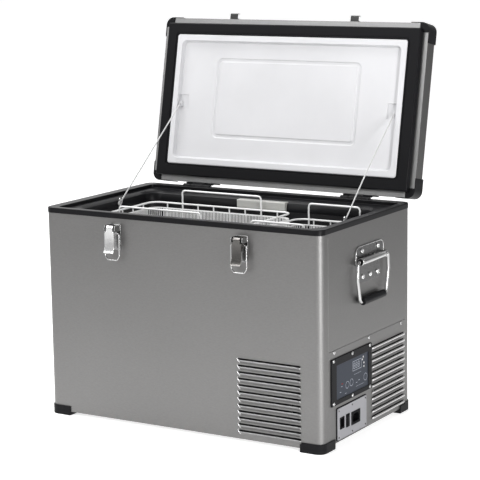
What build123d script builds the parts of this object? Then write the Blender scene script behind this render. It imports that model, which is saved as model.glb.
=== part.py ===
from build123d import *
from math import cos, hypot, radians, sin, tan
import os

os.makedirs("parts", exist_ok=True)

# Chest fridge with an open, rear-hinged lid. Millimetres, +Z up, front of the cabinet towards -Y.
# The floor is Z = 0. The origin is the middle of the overall footprint with the lid open.

# ---------------------------------------------------------------- driving dimensions

# Cabinet
body_width = 640.0
body_depth = 380.0
body_height = 415.0
foot_drop = 8.0
corner_radius = 16.0
sheet = 1.0
seam_gap = 0.4
front_wrap = 26.0
rear_wrap = 22.0
cover_height = 186.5
cover_bend = 5.0

# Top rim
rim_height = 11.0
rim_overhang = 1.0
rim_flat = 24.0
rim_drop = 7.0
rim_round = 2.0
rim_plate = 17.0
rim_ledge = 14.0
rim_slope_run = 10.0
rim_slope_drop = 5.0
collar_height = 30.0

# Cavity
side_wall = 48.0
front_wall = 52.0
rear_wall = 63.0
cavity_radius = 28.0
liner_wall = 2.5
floor_level = 60.0
hump_level = 230.0
hump_wall_x = 95.0
machine_wall_x = 129.5
machine_height = 187.0
band_bottom = 250.0
band_height = 120.0
band_sheet = 1.5

# Lid
lid_side_inset = 0.5
lid_end_inset = 10.0
lid_thickness = 35.0
lid_radius = 16.0
lid_tilt = 11.6
trim_sheet = 1.2
trim_width = 12.0
trim_cover = 16.0
gasket_height = 12.5
gasket_gap = 0.4
liner_side = 39.0
liner_front = 37.0
liner_rear = 38.0
liner_border = 13.0
dish_depth = 9.0
liner_corner = 6.0
liner_edge_round = 2.5
dish_corner = 12.0
dish_draft = 20.0
bead_width = 353.0
bead_depth = 175.0
bead_x = -1.5
bead_run = 186.5
bead_corner = 14.0
bead_band = 9.0
bead_sink = 2.2
bead_draft = 40.0
pocket_width = 23.5
pocket_run = 175.0
pocket_length = 32.0
pocket_sink = 2.2
cap_sheet = 1.3
cap_wrap = 40.0
cap_square = 20.0
lid_round = 4.0
gasket_round = 3.0
gasket_groove = 1.5
gasket_groove_edge = 3.0

# Hinges
hinge_spread = 194.0
hinge_width = 68.0
hinge_below_rim = 2.0
hinge_pin_radius = 2.5
pivot_clearance = 0.05
knuckle_radius = 5.5
knuckle_gap = 0.4
lid_knuckle = 30.0
leaf_sheet = 2.5
hinge_leaf_drop = 30.0
hinge_leaf_inset = 10.0
hinge_web_inner = (1.0, 1.4)
hinge_web_outer = (5.4, 2.2)

# Latches
latch_spread = 147.3
latch_pivot_out = 15.5
latch_pivot_drop = 18.2
bail_pivot_out = 12.0
bail_pivot_drop = 28.0
bail_wire = 1.25
bail_half_width = 17.0
lever_half_width = 10.5
lever_length = 48.3
lever_sheet = 1.5
lever_barrel = 5.5
latch_pin = 1.5
keeper_width = 19.0
keeper_height = 24.0
keeper_sheet = 1.2
keeper_reach = 12.3
keeper_curl = 8.0
keeper_screw_radius = 3.0
keeper_screw_head = 1.2
keeper_floor = -0.2
latch_base_half = 14.0
latch_base_drop = 11.0
latch_base_length = 52.0
ear_inside = 11.6
ear_radius = 5.5
lever_neck_half = 7.5
lever_shoulder = 6.0
lever_lip_top_drop = 37.0
lever_flare = 5.5
lever_lip_lap = 1.0
cheek_inset = 2.6
cheek_half = 3.0
cheek_drop = 14.0
bail_corner = 8.0
bail_flat_half = 11.3

# Chest handles
handle_y = 4.5
handle_axis_drop = 72.0
handle_axis_out = 9.0
handle_rod = 3.5
handle_barrel = 7.0
handle_barrel_length = 108.0
handle_plate_sheet = 2.0
handle_leg = 64.0
handle_bulge = 66.5
handle_foot = 55.5
grip_drop = 79.0
grip_radius = 7.5
grip_length = 92.0
grip_chamfer = 1.5
handle_rod_gap = 15.0
handle_bulge_drop = 33.0
handle_screw_radius = 4.5
handle_screw_head = 3.0

# Louvres
louvre_count = 12
louvre_pitch = 13.0
louvre_top = 169.6
louvre_gap = 2.8
lip_height = 7.0
lip_proud = 3.7
lip_edge = 1.2
lip_slant = 5.0
lip_sheet = 0.9
front_louvre_inset = 116.0
front_louvre_width = 140.0
side_louvre_inset = 102.5
side_louvre_width = 145.0

# Control panel and sockets, both on the right side
bezel_y = -72.2
bezel_level = 132.6
bezel_width = 168.5
bezel_height = 93.4
bezel_proud = 2.6
bezel_box_depth = 12.0
bezel_lap = 5.0
window_y = -70.0
window_level = 130.0
window_width = 132.0
window_height = 68.0
window_lap = 1.5
membrane_sheet = 1.5
membrane_recess = 1.2
button_radius = 6.2
button_gap = 0.3
button_proud = 0.5
button_length = 5.0
socket_y = -72.5
socket_level = 46.0
socket_width = 121.0
socket_height = 63.0
socket_sheet = 1.5
socket_gasket_sheet = 1.0
socket_gasket_border = 2.0
socket_fit = 0.2
socket_body_depth = 22.0

# Baskets, lid stays and small fittings
wire_radius = 2.0
thin_wire = 1.5
basket_rest = 0.3
wire_pitch = 39.0
hoop_corner = 6.0
basket_front_gap = 14.0
large_basket_back_gap = 15.0
small_basket_back_gap = 19.0
large_basket_side_gap = 15.0
large_basket_hump_gap = 7.0
small_basket_hump_gap = 8.0
small_basket_side_gap = 16.0
large_basket_drop = 17.0
small_basket_drop = 27.0
large_basket_corner = 25.0
small_basket_corner = 28.0
large_hoop_inset = 75.0
small_hoop_inset = (26.0, 9.0)
large_hoop_rise = 29.0
small_hoop_rise = 33.0
wire_sides = 8
second_ring = 12.0
stay_wire = 1.0
stay_anchor_gap = 4.5
stay_anchor_y = 3.0
stay_anchor_rise = 1.5
stay_clip_inset = 5.5
stay_clip_run = 170.0
stay_clip_depth = 8.0
stay_gap = 0.95
stay_clip_width = 8.0
stay_clip_length = 12.0
anchor_length = 17.0
anchor_width = 8.0
anchor_sheet = 1.5
lamp_x = 7.0
lamp_width = 117.0
lamp_drop = 17.0
lamp_height = 18.0
lamp_seat = 8.0
lamp_depth = 15.0
lamp_round = 2.0
lamp_pocket = 25.0

# ---------------------------------------------------------------- derived sizes and planes

body_base = foot_drop
rim_base = body_base + body_height
rim_top = rim_base + rim_height
ledge_top = rim_top - rim_drop
pan_top = body_base + 2 * sheet
plate_bottom = rim_top - rim_plate
collar_bottom = rim_top - collar_height
cover_top = body_base + cover_height
machine_top = body_base + machine_height
cavity_width = body_width - 2 * side_wall
cavity_depth = body_depth - front_wall - rear_wall
cavity_y = (front_wall - rear_wall) / 2
cavity_front = front_wall - body_depth / 2
cavity_back = body_depth / 2 - rear_wall

hinge_y = body_depth / 2
hinge_level = rim_top - hinge_below_rim
lid_width = body_width - 2 * lid_side_inset
lid_depth = body_depth - 2 * lid_end_inset
lid_base = rim_top + gasket_gap + gasket_height
lid_swing = radians(90.0 + lid_tilt)

# The lid's rear lower edge, measured from the hinge pin with the lid closed, then swung open.
closed_back = lid_depth / 2 - hinge_y
closed_up = lid_base - hinge_level
open_back = closed_back * cos(lid_swing) + closed_up * sin(lid_swing)
open_up = -closed_back * sin(lid_swing) + closed_up * cos(lid_swing)
lean = radians(lid_tilt)

front_reach = body_depth / 2 + latch_pivot_out + lever_barrel + lever_flare
rear_reach = hinge_y + open_back + lid_depth * sin(lean) + (lid_thickness + cap_sheet) * cos(lean)
cabinet_y = (front_reach - rear_reach) / 2

ground = Plane((0, cabinet_y, 0))
front_face = Plane((0, cabinet_y - body_depth / 2, 0), x_dir=(1, 0, 0), z_dir=(0, -1, 0))
side_faces = {
    "left": Plane((-body_width / 2, cabinet_y, 0), x_dir=(0, -1, 0), z_dir=(-1, 0, 0)),
    "right": Plane((body_width / 2, cabinet_y, 0), x_dir=(0, 1, 0), z_dir=(1, 0, 0)),
}
right_face = side_faces["right"]

# Lid plane: on the trim's underside at the hinge edge. X across, -Y towards the latch edge, Z out
# through the lid's top skin.
lid_plane = Plane(
    (0, cabinet_y + hinge_y + open_back, hinge_level + open_up),
    x_dir=(1, 0, 0),
    z_dir=(0, cos(lean), -sin(lean)),
)
lid_centre = -lid_depth / 2
liner_y = -(liner_rear + lid_depth - liner_front) / 2
liner_width = lid_width - 2 * liner_side
liner_depth = lid_depth - liner_front - liner_rear
pocket_outer = liner_width / 2 - liner_border
pocket_inner = pocket_outer - pocket_width

latch_pivot_level = rim_base - latch_pivot_drop
bail_pivot_level = rim_base - bail_pivot_drop
latch_base_top = rim_base - latch_base_drop
latch_base_bottom = latch_base_top - latch_base_length
lever_bottom = latch_pivot_level - lever_length
handle_axis_level = rim_base - handle_axis_drop
grip_level = handle_axis_level - grip_drop
lamp_level = rim_base - lamp_drop
lamp_back = cavity_back + lamp_seat
stay_anchor_x = cavity_width / 2 - stay_anchor_gap
stay_anchor_level = ledge_top + stay_anchor_rise
stay_clip_x = pocket_outer - stay_clip_inset
front_louvre_x = body_width / 2 - front_louvre_inset
side_louvre_y = body_depth / 2 - side_louvre_inset

sides = (("left", -1), ("right", 1))


def save(builder, name):
    builder.part.label = name
    export_step(builder.part, f"parts/{name}.step")


def body_outline(inset=0.0, mode=Mode.ADD):
    RectangleRounded(body_width - 2 * inset, body_depth - 2 * inset, corner_radius - inset, mode=mode)


def cavity_outline(grow=0.0, mode=Mode.ADD):
    with Locations((0, cavity_y)):
        RectangleRounded(
            cavity_width + 2 * grow, cavity_depth + 2 * grow, cavity_radius + grow, mode=mode
        )


def lid_outline(inset=0.0, mode=Mode.ADD):
    with Locations((0, lid_centre)):
        RectangleRounded(
            lid_width - 2 * inset, lid_depth - 2 * inset, max(lid_radius - inset, 4.0), mode=mode
        )


def liner_outline(inset=0.0, radius=0.0, mode=Mode.ADD):
    with Locations((0, liner_y)):
        RectangleRounded(liner_width - 2 * inset, liner_depth - 2 * inset, radius, mode=mode)


# ---------------------------------------------------------------- louvres

lip_bottom = -(louvre_gap + lip_height)


def louvre_lip(width):
    """One pressed lip, lying on XY: X along the slot, Y up from the slot's top edge, Z outward."""
    with BuildPart() as lip:
        with BuildSketch():
            with Locations((0, -louvre_gap)):
                Rectangle(width, lip_height, align=(Align.CENTER, Align.MAX))
        with BuildSketch(Plane.XY.offset(lip_proud)):
            with Locations((0, -louvre_gap)):
                Rectangle(width - 2 * lip_slant, lip_edge, align=(Align.CENTER, Align.MAX))
        loft()
        with BuildSketch():
            with Locations((0, -louvre_gap)):
                Rectangle(width - 2 * lip_sheet, lip_height - lip_sheet, align=(Align.CENTER, Align.MAX))
        with BuildSketch(Plane.XY.offset(lip_proud - lip_sheet)):
            with Locations((0, -louvre_gap)):
                Rectangle(width - 2 * lip_slant, lip_edge, align=(Align.CENTER, Align.MAX))
        loft(mode=Mode.SUBTRACT)
    return lip.part


def louvre_windows(width):
    """Sketch of every slot in a bank, with its own top edge at Y = 0 of the first slot."""
    for row in range(louvre_count):
        with Locations((0, -row * louvre_pitch)):
            Rectangle(
                width - 2 * lip_sheet, -lip_bottom - lip_sheet, align=(Align.CENTER, Align.MAX)
            )


def louvre_places(face, across):
    return [
        face.location * Location((across, louvre_top - row * louvre_pitch, 0))
        for row in range(louvre_count)
    ]


front_lip = louvre_lip(front_louvre_width)
side_lip = louvre_lip(side_louvre_width)

# ---------------------------------------------------------------- cabinet sheets

with BuildPart() as front_panel:
    with BuildSketch(ground.offset(body_base)):
        body_outline()
        body_outline(sheet, mode=Mode.SUBTRACT)
        with Locations((0, front_wrap - body_depth / 2)):
            Rectangle(
                body_width + 1, front_wrap + 1, align=(Align.CENTER, Align.MAX), mode=Mode.INTERSECT
            )
    extrude(amount=body_height)
    with BuildSketch(front_face):
        with Locations((front_louvre_x, louvre_top)):
            louvre_windows(front_louvre_width)
    extrude(amount=-sheet, mode=Mode.SUBTRACT)
    with Locations(louvre_places(front_face, front_louvre_x)):
        add(front_lip)
save(front_panel, "front_panel")

with BuildPart() as back_panel:
    with BuildSketch(ground.offset(body_base)):
        body_outline()
        body_outline(sheet, mode=Mode.SUBTRACT)
        with Locations((0, body_depth / 2 - rear_wrap)):
            Rectangle(
                body_width + 1, rear_wrap + 1, align=(Align.CENTER, Align.MIN), mode=Mode.INTERSECT
            )
    extrude(amount=body_height)
save(back_panel, "back_panel")

side_depth = body_depth - front_wrap - rear_wrap - 2 * seam_gap
side_y = (front_wrap - rear_wrap) / 2

with BuildPart() as left_side_panel:
    with BuildSketch(side_faces["left"]):
        with Locations((-side_y, body_base)):
            Rectangle(side_depth, body_height, align=(Align.CENTER, Align.MIN))
    extrude(amount=-sheet)
save(left_side_panel, "left_side_panel")

with BuildPart() as right_side_panel:
    with BuildSketch(right_face):
        with Locations((side_y, cover_top + seam_gap)):
            Rectangle(
                side_depth, body_height - cover_height - seam_gap, align=(Align.CENTER, Align.MIN)
            )
    extrude(amount=-sheet)
save(right_side_panel, "right_side_panel")

# Every opening that the service cover, gasket and socket plate share: (y, level, width, height).
dc_place = (-115.0, 46.3, 18.0, 23.5)
rocker_place = (-91.7, 45.7, 14.5, 26.5)
ac_place = (-58.5, 44.3, 37.0, 26.5)
socket_places = (dc_place, rocker_place, ac_place)


def socket_holes(mode=Mode.SUBTRACT):
    for across, level, width, height in socket_places:
        with Locations((across, level)):
            Rectangle(width + 2 * socket_fit, height + 2 * socket_fit, mode=mode)


with BuildPart() as right_service_cover:
    with BuildSketch(Plane.XZ.offset(-(cabinet_y + side_y + side_depth / 2))) as cover_section:
        with Locations((body_width / 2, body_base)):
            Rectangle(2 * cover_bend, cover_height, align=(Align.MAX, Align.MIN))
        fillet(cover_section.vertices().group_by(Axis.Y)[0].sort_by(Axis.X)[-1], cover_bend)
    extrude(amount=side_depth)
    with BuildSketch(Plane.XZ.offset(-(cabinet_y + side_y + side_depth / 2))) as cover_inside:
        with Locations((body_width / 2 - sheet, body_base + sheet)):
            Rectangle(2 * cover_bend, cover_height, align=(Align.MAX, Align.MIN))
        inner_bend = cover_inside.vertices().group_by(Axis.Y)[0].sort_by(Axis.X)[-1]
        fillet(inner_bend, cover_bend - sheet)
    extrude(amount=side_depth, mode=Mode.SUBTRACT)
    with BuildSketch(right_face):
        with Locations((side_louvre_y, louvre_top)):
            louvre_windows(side_louvre_width)
        with Locations((bezel_y, bezel_level)):
            Rectangle(bezel_width - 2 * bezel_lap, bezel_height - 2 * bezel_lap)
        socket_holes(mode=Mode.ADD)
    extrude(amount=-sheet, mode=Mode.SUBTRACT)
    with Locations(louvre_places(right_face, side_louvre_y)):
        add(side_lip)
save(right_service_cover, "right_service_cover")

with BuildPart() as base_pan:
    with BuildSketch(ground.offset(body_base + sheet)):
        body_outline(sheet)
        with Locations((body_width / 2 - cover_bend, 0)):
            Rectangle(
                body_width, body_depth, align=(Align.MAX, Align.CENTER), mode=Mode.INTERSECT
            )
    extrude(amount=sheet)
save(base_pan, "base_pan")

# Corner feet: a pad under each corner with a low wall that wraps the sheets.
foot_wrap = 48.0
foot_wall = 2.2
foot_height = 20.0
foot_chamfer = 1.2
lip_clearance = 0.3

with BuildPart() as corner_feet:
    with BuildSketch(ground):
        body_outline(-foot_wall)
        with GridLocations(body_width - foot_wrap + foot_wall, body_depth - foot_wrap + foot_wall, 2, 2):
            Rectangle(foot_wrap + foot_wall + 1, foot_wrap + foot_wall + 1, mode=Mode.INTERSECT)
    extrude(amount=foot_height)
    with BuildSketch(ground.offset(body_base)):
        body_outline()
    extrude(amount=foot_height, mode=Mode.SUBTRACT)
    chamfer(corner_feet.faces().sort_by(Axis.Z)[:4].edges(), foot_chamfer)
    lowest_lip = louvre_top - (louvre_count - 1) * louvre_pitch + lip_bottom - lip_clearance
    for face, across, width in (
        (front_face, front_louvre_x, front_louvre_width),
        (right_face, side_louvre_y, side_louvre_width),
    ):
        with BuildSketch(face):
            with Locations((across, lowest_lip)):
                Rectangle(width + 2 * lip_clearance, foot_height, align=(Align.CENTER, Align.MIN))
        extrude(amount=lip_proud, mode=Mode.SUBTRACT)
save(corner_feet, "corner_feet")

# ---------------------------------------------------------------- rim, liner and insulation

knuckle_room = 1.6
notch_radius = knuckle_radius + knuckle_room
rim_inner_corner = 8.0

with BuildPart() as rim_frame:
    with BuildSketch(ground.offset(plate_bottom)):
        body_outline(sheet)
    extrude(amount=rim_base - plate_bottom)
    with BuildSketch(ground.offset(rim_base)):
        body_outline(-rim_overhang)
    extrude(amount=rim_height)
    fillet(rim_frame.faces().sort_by(Axis.Z)[-1].outer_wire().edges(), rim_round)
    with BuildSketch(ground.offset(ledge_top)):
        RectangleRounded(
            body_width + 2 * (rim_overhang - rim_flat),
            body_depth + 2 * (rim_overhang - rim_flat),
            rim_inner_corner,
        )
    extrude(amount=rim_drop, mode=Mode.SUBTRACT)
    with BuildSketch(ground.offset(collar_bottom)):
        cavity_outline(liner_wall)
    extrude(amount=plate_bottom - collar_bottom)
    with BuildSketch(ground.offset(ledge_top)):
        cavity_outline(rim_ledge)
    with BuildSketch(ground.offset(ledge_top - rim_slope_drop)):
        cavity_outline(rim_ledge - rim_slope_run)
    loft(mode=Mode.SUBTRACT)
    with BuildSketch(ground.offset(ledge_top - rim_slope_drop)):
        cavity_outline(rim_ledge - rim_slope_run)
    with BuildSketch(ground.offset(plate_bottom - rim_slope_drop)):
        cavity_outline()
    loft(mode=Mode.SUBTRACT)
    with BuildSketch(ground.offset(collar_bottom)):
        cavity_outline()
    extrude(amount=rim_base - collar_bottom - rim_slope_drop, mode=Mode.SUBTRACT)
    with BuildSketch(ground.offset(rim_base)):
        with Locations((-hinge_spread, hinge_y - notch_radius), (hinge_spread, hinge_y - notch_radius)):
            Rectangle(hinge_width + 1, 2 * notch_radius, align=(Align.CENTER, Align.MIN))
    extrude(amount=rim_height, mode=Mode.SUBTRACT)
    with BuildSketch(ground.offset(lamp_level)):
        with Locations((lamp_x, lamp_back)):
            Rectangle(lamp_width, lamp_pocket, align=(Align.CENTER, Align.MAX))
    extrude(amount=lamp_height, mode=Mode.SUBTRACT)
save(rim_frame, "rim_frame")

with BuildPart() as interior_lamp:
    with BuildSketch(ground.offset(lamp_level)):
        with Locations((lamp_x, lamp_back)):
            Rectangle(lamp_width, lamp_depth, align=(Align.CENTER, Align.MAX))
    extrude(amount=lamp_height)
    fillet(interior_lamp.faces().sort_by(Axis.Y)[0].edges(), lamp_round)
save(interior_lamp, "interior_lamp")


def deep_outline(grow, mode=Mode.ADD):
    """Cavity outline in front of the hump: everything left of the hump's wall."""
    cavity_outline(grow, mode=mode)
    with Locations((hump_wall_x + grow, 0)):
        Rectangle(body_width, body_depth, align=(Align.MAX, Align.CENTER), mode=Mode.INTERSECT)


with BuildPart() as inner_liner:
    with BuildSketch(ground.offset(hump_level - liner_wall)):
        cavity_outline(liner_wall)
    extrude(amount=collar_bottom - hump_level + liner_wall)
    with BuildSketch(ground.offset(floor_level - liner_wall)):
        deep_outline(liner_wall)
    extrude(amount=hump_level - floor_level)
    with BuildSketch(ground.offset(hump_level)):
        cavity_outline()
    extrude(amount=collar_bottom - hump_level, mode=Mode.SUBTRACT)
    with BuildSketch(ground.offset(floor_level)):
        deep_outline(0)
    extrude(amount=collar_bottom - floor_level, mode=Mode.SUBTRACT)
save(inner_liner, "inner_liner")

with BuildPart() as evaporator:
    with BuildSketch(ground.offset(band_bottom)):
        cavity_outline(liner_wall + band_sheet)
        cavity_outline(liner_wall, mode=Mode.SUBTRACT)
    extrude(amount=band_height)
save(evaporator, "evaporator")

with BuildPart() as bulkhead:
    with BuildSketch(ground.offset(pan_top)):
        body_outline(sheet)
        with Locations((machine_wall_x - sheet, 0)):
            Rectangle(body_width, body_depth, align=(Align.MIN, Align.CENTER), mode=Mode.INTERSECT)
    extrude(amount=machine_top + sheet - pan_top)
    with BuildSketch(ground.offset(pan_top)):
        with Locations((machine_wall_x, 0)):
            Rectangle(body_width, body_depth, align=(Align.MIN, Align.CENTER))
    extrude(amount=machine_top - pan_top, mode=Mode.SUBTRACT)
save(bulkhead, "bulkhead")

with BuildPart() as foam_insulation:
    with BuildSketch(ground.offset(pan_top)):
        body_outline(sheet)
    extrude(amount=plate_bottom - pan_top)
    with BuildSketch(ground.offset(pan_top)):
        with Locations((machine_wall_x - sheet, 0)):
            Rectangle(body_width, body_depth, align=(Align.MIN, Align.CENTER))
    extrude(amount=machine_top + sheet - pan_top, mode=Mode.SUBTRACT)
    with BuildSketch(ground.offset(hump_level - liner_wall)):
        cavity_outline(liner_wall)
    extrude(amount=body_height, mode=Mode.SUBTRACT)
    with BuildSketch(ground.offset(floor_level - liner_wall)):
        deep_outline(liner_wall)
    extrude(amount=body_height, mode=Mode.SUBTRACT)
    with BuildSketch(ground.offset(band_bottom)):
        cavity_outline(liner_wall + band_sheet)
    extrude(amount=band_height, mode=Mode.SUBTRACT)
    with BuildSketch(ground.offset(lamp_level)):
        with Locations((lamp_x, lamp_back)):
            Rectangle(lamp_width, lamp_pocket, align=(Align.CENTER, Align.MAX))
    extrude(amount=lamp_height, mode=Mode.SUBTRACT)
save(foam_insulation, "foam_insulation")

# ---------------------------------------------------------------- compressor compartment

compressor_x = 186.0
compressor_y = 70.0
compressor_radius = 50.0
compressor_height = 118.0
compressor_dome = 30.0
compressor_foot_edge = 9.0
compressor_foot_corner = 8.0
compressor_foot_sheet = 2.5
terminal_level = 35.0
terminal_width = 44.0
terminal_depth = 30.0
terminal_height = 40.0
mount_height = 14.0
mount_radius = 9.0
mount_span_x = 84.0
mount_span_y = 96.0

with BuildPart() as compressor_mounts:
    with BuildSketch(ground.offset(pan_top)):
        with Locations((compressor_x, compressor_y)):
            with GridLocations(mount_span_x, mount_span_y, 2, 2):
                Circle(mount_radius)
    extrude(amount=mount_height)
save(compressor_mounts, "compressor_mounts")

with BuildPart() as compressor:
    with BuildSketch(ground.offset(pan_top + mount_height)):
        with Locations((compressor_x, compressor_y)):
            RectangleRounded(
                mount_span_x + 2 * compressor_foot_edge,
                mount_span_y + 2 * compressor_foot_edge,
                compressor_foot_corner,
            )
    extrude(amount=compressor_foot_sheet)
    with BuildSketch(ground.offset(pan_top + mount_height)):
        with Locations((compressor_x, compressor_y)):
            Circle(compressor_radius)
    extrude(amount=compressor_height)
    fillet(compressor.faces().sort_by(Axis.Z)[-1].edges(), compressor_dome)
    with BuildSketch(ground.offset(pan_top + mount_height + terminal_level)):
        with Locations((compressor_x, compressor_y - compressor_radius)):
            Rectangle(terminal_width, terminal_depth)
    extrude(amount=terminal_height)
save(compressor, "compressor")

# Finned condenser behind the side louvres, with the fan on its inner face.
condenser_x = 281.0
condenser_depth = 26.0
condenser_width = 136.0
condenser_height = 150.0
condenser_y = side_louvre_y
fin_pitch = 10.0
fin_sheet = 1.0
tube_radius = 4.0
fan_size = 120.0
fan_depth = 25.0
fan_bore = 57.0
fan_level = pan_top + condenser_height / 2
fan_corner = 6.0
fan_pin = 2.0
fan_hub = 20.0
fan_strut = 5.0
fan_strut_sheet = 3.0
fan_end_gap = 0.6
fan_tip_gap = 1.5
blade_count = 7
blade_sheet = 3.0
blade_start = 6.0
blade_depth = 14.0

with BuildPart(ground) as condenser:
    with Locations((condenser_x + condenser_depth / 2, condenser_y, pan_top + condenser_height / 2)):
        with GridLocations(0, fin_pitch, 1, int(condenser_width / fin_pitch) + 1):
            Box(condenser_depth, fin_sheet, condenser_height)
    with BuildSketch(Plane.XZ.offset(-(cabinet_y + condenser_y + condenser_width / 2))):
        with Locations((condenser_x + condenser_depth / 2, fan_level)):
            with GridLocations(condenser_depth / 2, condenser_height / 4, 2, 4):
                Circle(tube_radius)
    extrude(amount=condenser_width)
save(condenser, "condenser")

fan_plane = Plane((condenser_x, cabinet_y + condenser_y, fan_level), x_dir=(0, 1, 0), z_dir=(-1, 0, 0))

with BuildPart() as fan_frame:
    with BuildSketch(fan_plane):
        RectangleRounded(fan_size, fan_size, fan_corner)
        Circle(fan_bore, mode=Mode.SUBTRACT)
    extrude(amount=fan_depth)
    with BuildSketch(fan_plane):
        Circle(fan_hub)
        Rectangle(2 * fan_bore + 2, fan_strut)
        Rectangle(fan_strut, 2 * fan_bore + 2)
    extrude(amount=fan_strut_sheet)
    with BuildSketch(fan_plane.offset(fan_strut_sheet)):
        Circle(fan_pin)
    extrude(amount=fan_depth - 2 * fan_strut_sheet)
save(fan_frame, "fan_frame")

with BuildPart() as fan_rotor:
    with BuildSketch(fan_plane.offset(fan_strut_sheet + fan_end_gap)):
        Circle(fan_hub)
    extrude(amount=fan_depth - fan_strut_sheet - fan_end_gap - 1)
    with BuildSketch(fan_plane.offset(blade_start)):
        with PolarLocations(0, blade_count):
            with Locations(((fan_bore + fan_hub - fan_tip_gap - 1.5) / 2, 0)):
                Rectangle(fan_bore - fan_hub - fan_tip_gap + 0.5, blade_sheet)
    extrude(amount=blade_depth)
    with BuildSketch(fan_plane.offset(fan_strut_sheet)):
        Circle(fan_pin + pivot_clearance)
    extrude(amount=fan_depth - 2 * fan_strut_sheet + fan_end_gap / 2, mode=Mode.SUBTRACT)
save(fan_rotor, "fan_rotor")

# ---------------------------------------------------------------- control panel

panel_corner = 3.0
window_corner = 2.0
bezel_chamfer = 0.8

with BuildPart() as control_bezel:
    with BuildSketch(right_face):
        with Locations((bezel_y, bezel_level)):
            RectangleRounded(bezel_width, bezel_height, panel_corner)
    extrude(amount=bezel_proud)
    chamfer(control_bezel.faces().sort_by(Axis.X)[-1].edges(), bezel_chamfer)
    with BuildSketch(right_face):
        with Locations((bezel_y, bezel_level)):
            Rectangle(
                bezel_width - 2 * bezel_lap - 2 * socket_fit, bezel_height - 2 * bezel_lap - 2 * socket_fit
            )
    extrude(amount=-bezel_box_depth)
    with BuildSketch(right_face.offset(bezel_proud)):
        with Locations((window_y, window_level)):
            RectangleRounded(window_width, window_height, window_corner)
    extrude(amount=-membrane_recess, mode=Mode.SUBTRACT)
    with BuildSketch(right_face.offset(bezel_proud - membrane_recess)):
        with Locations((window_y, window_level)):
            RectangleRounded(
                window_width + 2 * window_lap, window_height + 2 * window_lap, window_corner
            )
    extrude(amount=-bezel_box_depth - bezel_proud, mode=Mode.SUBTRACT)
save(control_bezel, "control_bezel")

buttons = {"power_button": (-14.5, 115.2), "plus_button": (-73.5, 117.0), "minus_button": (-91.0, 116.2)}
button_places = [Location((across, level)) for across, level in buttons.values()]

with BuildPart() as control_membrane:
    with BuildSketch(right_face.offset(bezel_proud - membrane_recess)):
        with Locations((window_y, window_level)):
            RectangleRounded(
                window_width + 2 * window_lap, window_height + 2 * window_lap, window_corner
            )
        with Locations(*button_places):
            Circle(button_radius + button_gap, mode=Mode.SUBTRACT)
    extrude(amount=-membrane_sheet)
save(control_membrane, "control_membrane")

for name, place in buttons.items():
    with BuildPart() as button:
        with BuildSketch(right_face.offset(bezel_proud - membrane_recess + button_proud)):
            with Locations(place):
                Circle(button_radius)
        extrude(amount=-button_length)
        chamfer(button.faces().sort_by(Axis.X)[-1].edges(), button_proud)
    save(button, name)

board_sheet = 1.6
board_parts = ((40.0, 10.0, 30.0, 40.0), (-30.0, -8.0, 45.0, 24.0))
board_part_height = 14.0

with BuildPart() as control_board:
    with BuildSketch(right_face.offset(-bezel_box_depth)):
        with Locations((bezel_y, bezel_level)):
            Rectangle(bezel_width - 2 * bezel_lap, bezel_height - 2 * bezel_lap)
    extrude(amount=-board_sheet)
    with BuildSketch(right_face.offset(-bezel_box_depth - board_sheet)):
        for across, up, width, height in board_parts:
            with Locations((bezel_y + across, bezel_level + up)):
                Rectangle(width, height)
    extrude(amount=-board_part_height)
save(control_board, "control_board")

# ---------------------------------------------------------------- sockets

socket_blank_proud = 0.5
socket_blank_corner = 1.5
dc_wall = (5.0, 6.0)
dc_cavity = 14.0
dc_blade = (5.0, 1.5, 9.0)
dc_blade_pitch = 8.0
ac_mouth_size = (25.0, 17.0)
ac_mouth_chamfer = 5.0
ac_cavity = 16.0
ac_pin = (2.0, 5.0, 10.0)
ac_pin_places = ((-7.0, -2.0), (0.0, 2.0), (7.0, -2.0))

with BuildPart() as socket_gasket:
    with BuildSketch(right_face):
        with Locations((socket_y, socket_level)):
            RectangleRounded(
                socket_width + 2 * socket_gasket_border,
                socket_height + 2 * socket_gasket_border,
                panel_corner + 1,
            )
        socket_holes()
    extrude(amount=socket_gasket_sheet)
save(socket_gasket, "socket_gasket")

socket_face = right_face.offset(socket_gasket_sheet + socket_sheet)

with BuildPart() as socket_plate:
    with BuildSketch(right_face.offset(socket_gasket_sheet)):
        with Locations((socket_y, socket_level)):
            RectangleRounded(socket_width, socket_height, panel_corner)
        socket_holes()
    extrude(amount=socket_sheet)
save(socket_plate, "socket_plate")


def socket_blank(place):
    across, level, width, height = place
    with Locations((across, level)):
        RectangleRounded(width, height, socket_blank_corner)


with BuildPart() as dc_inlet:
    with BuildSketch(socket_face.offset(socket_blank_proud)):
        socket_blank(dc_place)
    extrude(amount=-socket_body_depth)
    with BuildSketch(socket_face.offset(socket_blank_proud)):
        with Locations(dc_place[:2]):
            Rectangle(dc_place[2] - dc_wall[0], dc_place[3] - dc_wall[1])
    extrude(amount=-dc_cavity, mode=Mode.SUBTRACT)
    with BuildSketch(socket_face.offset(socket_blank_proud - dc_cavity)):
        with Locations(dc_place[:2]):
            with GridLocations(0, dc_blade_pitch, 1, 2):
                Rectangle(*dc_blade[:2])
    extrude(amount=dc_blade[2])
save(dc_inlet, "dc_inlet")

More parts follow.
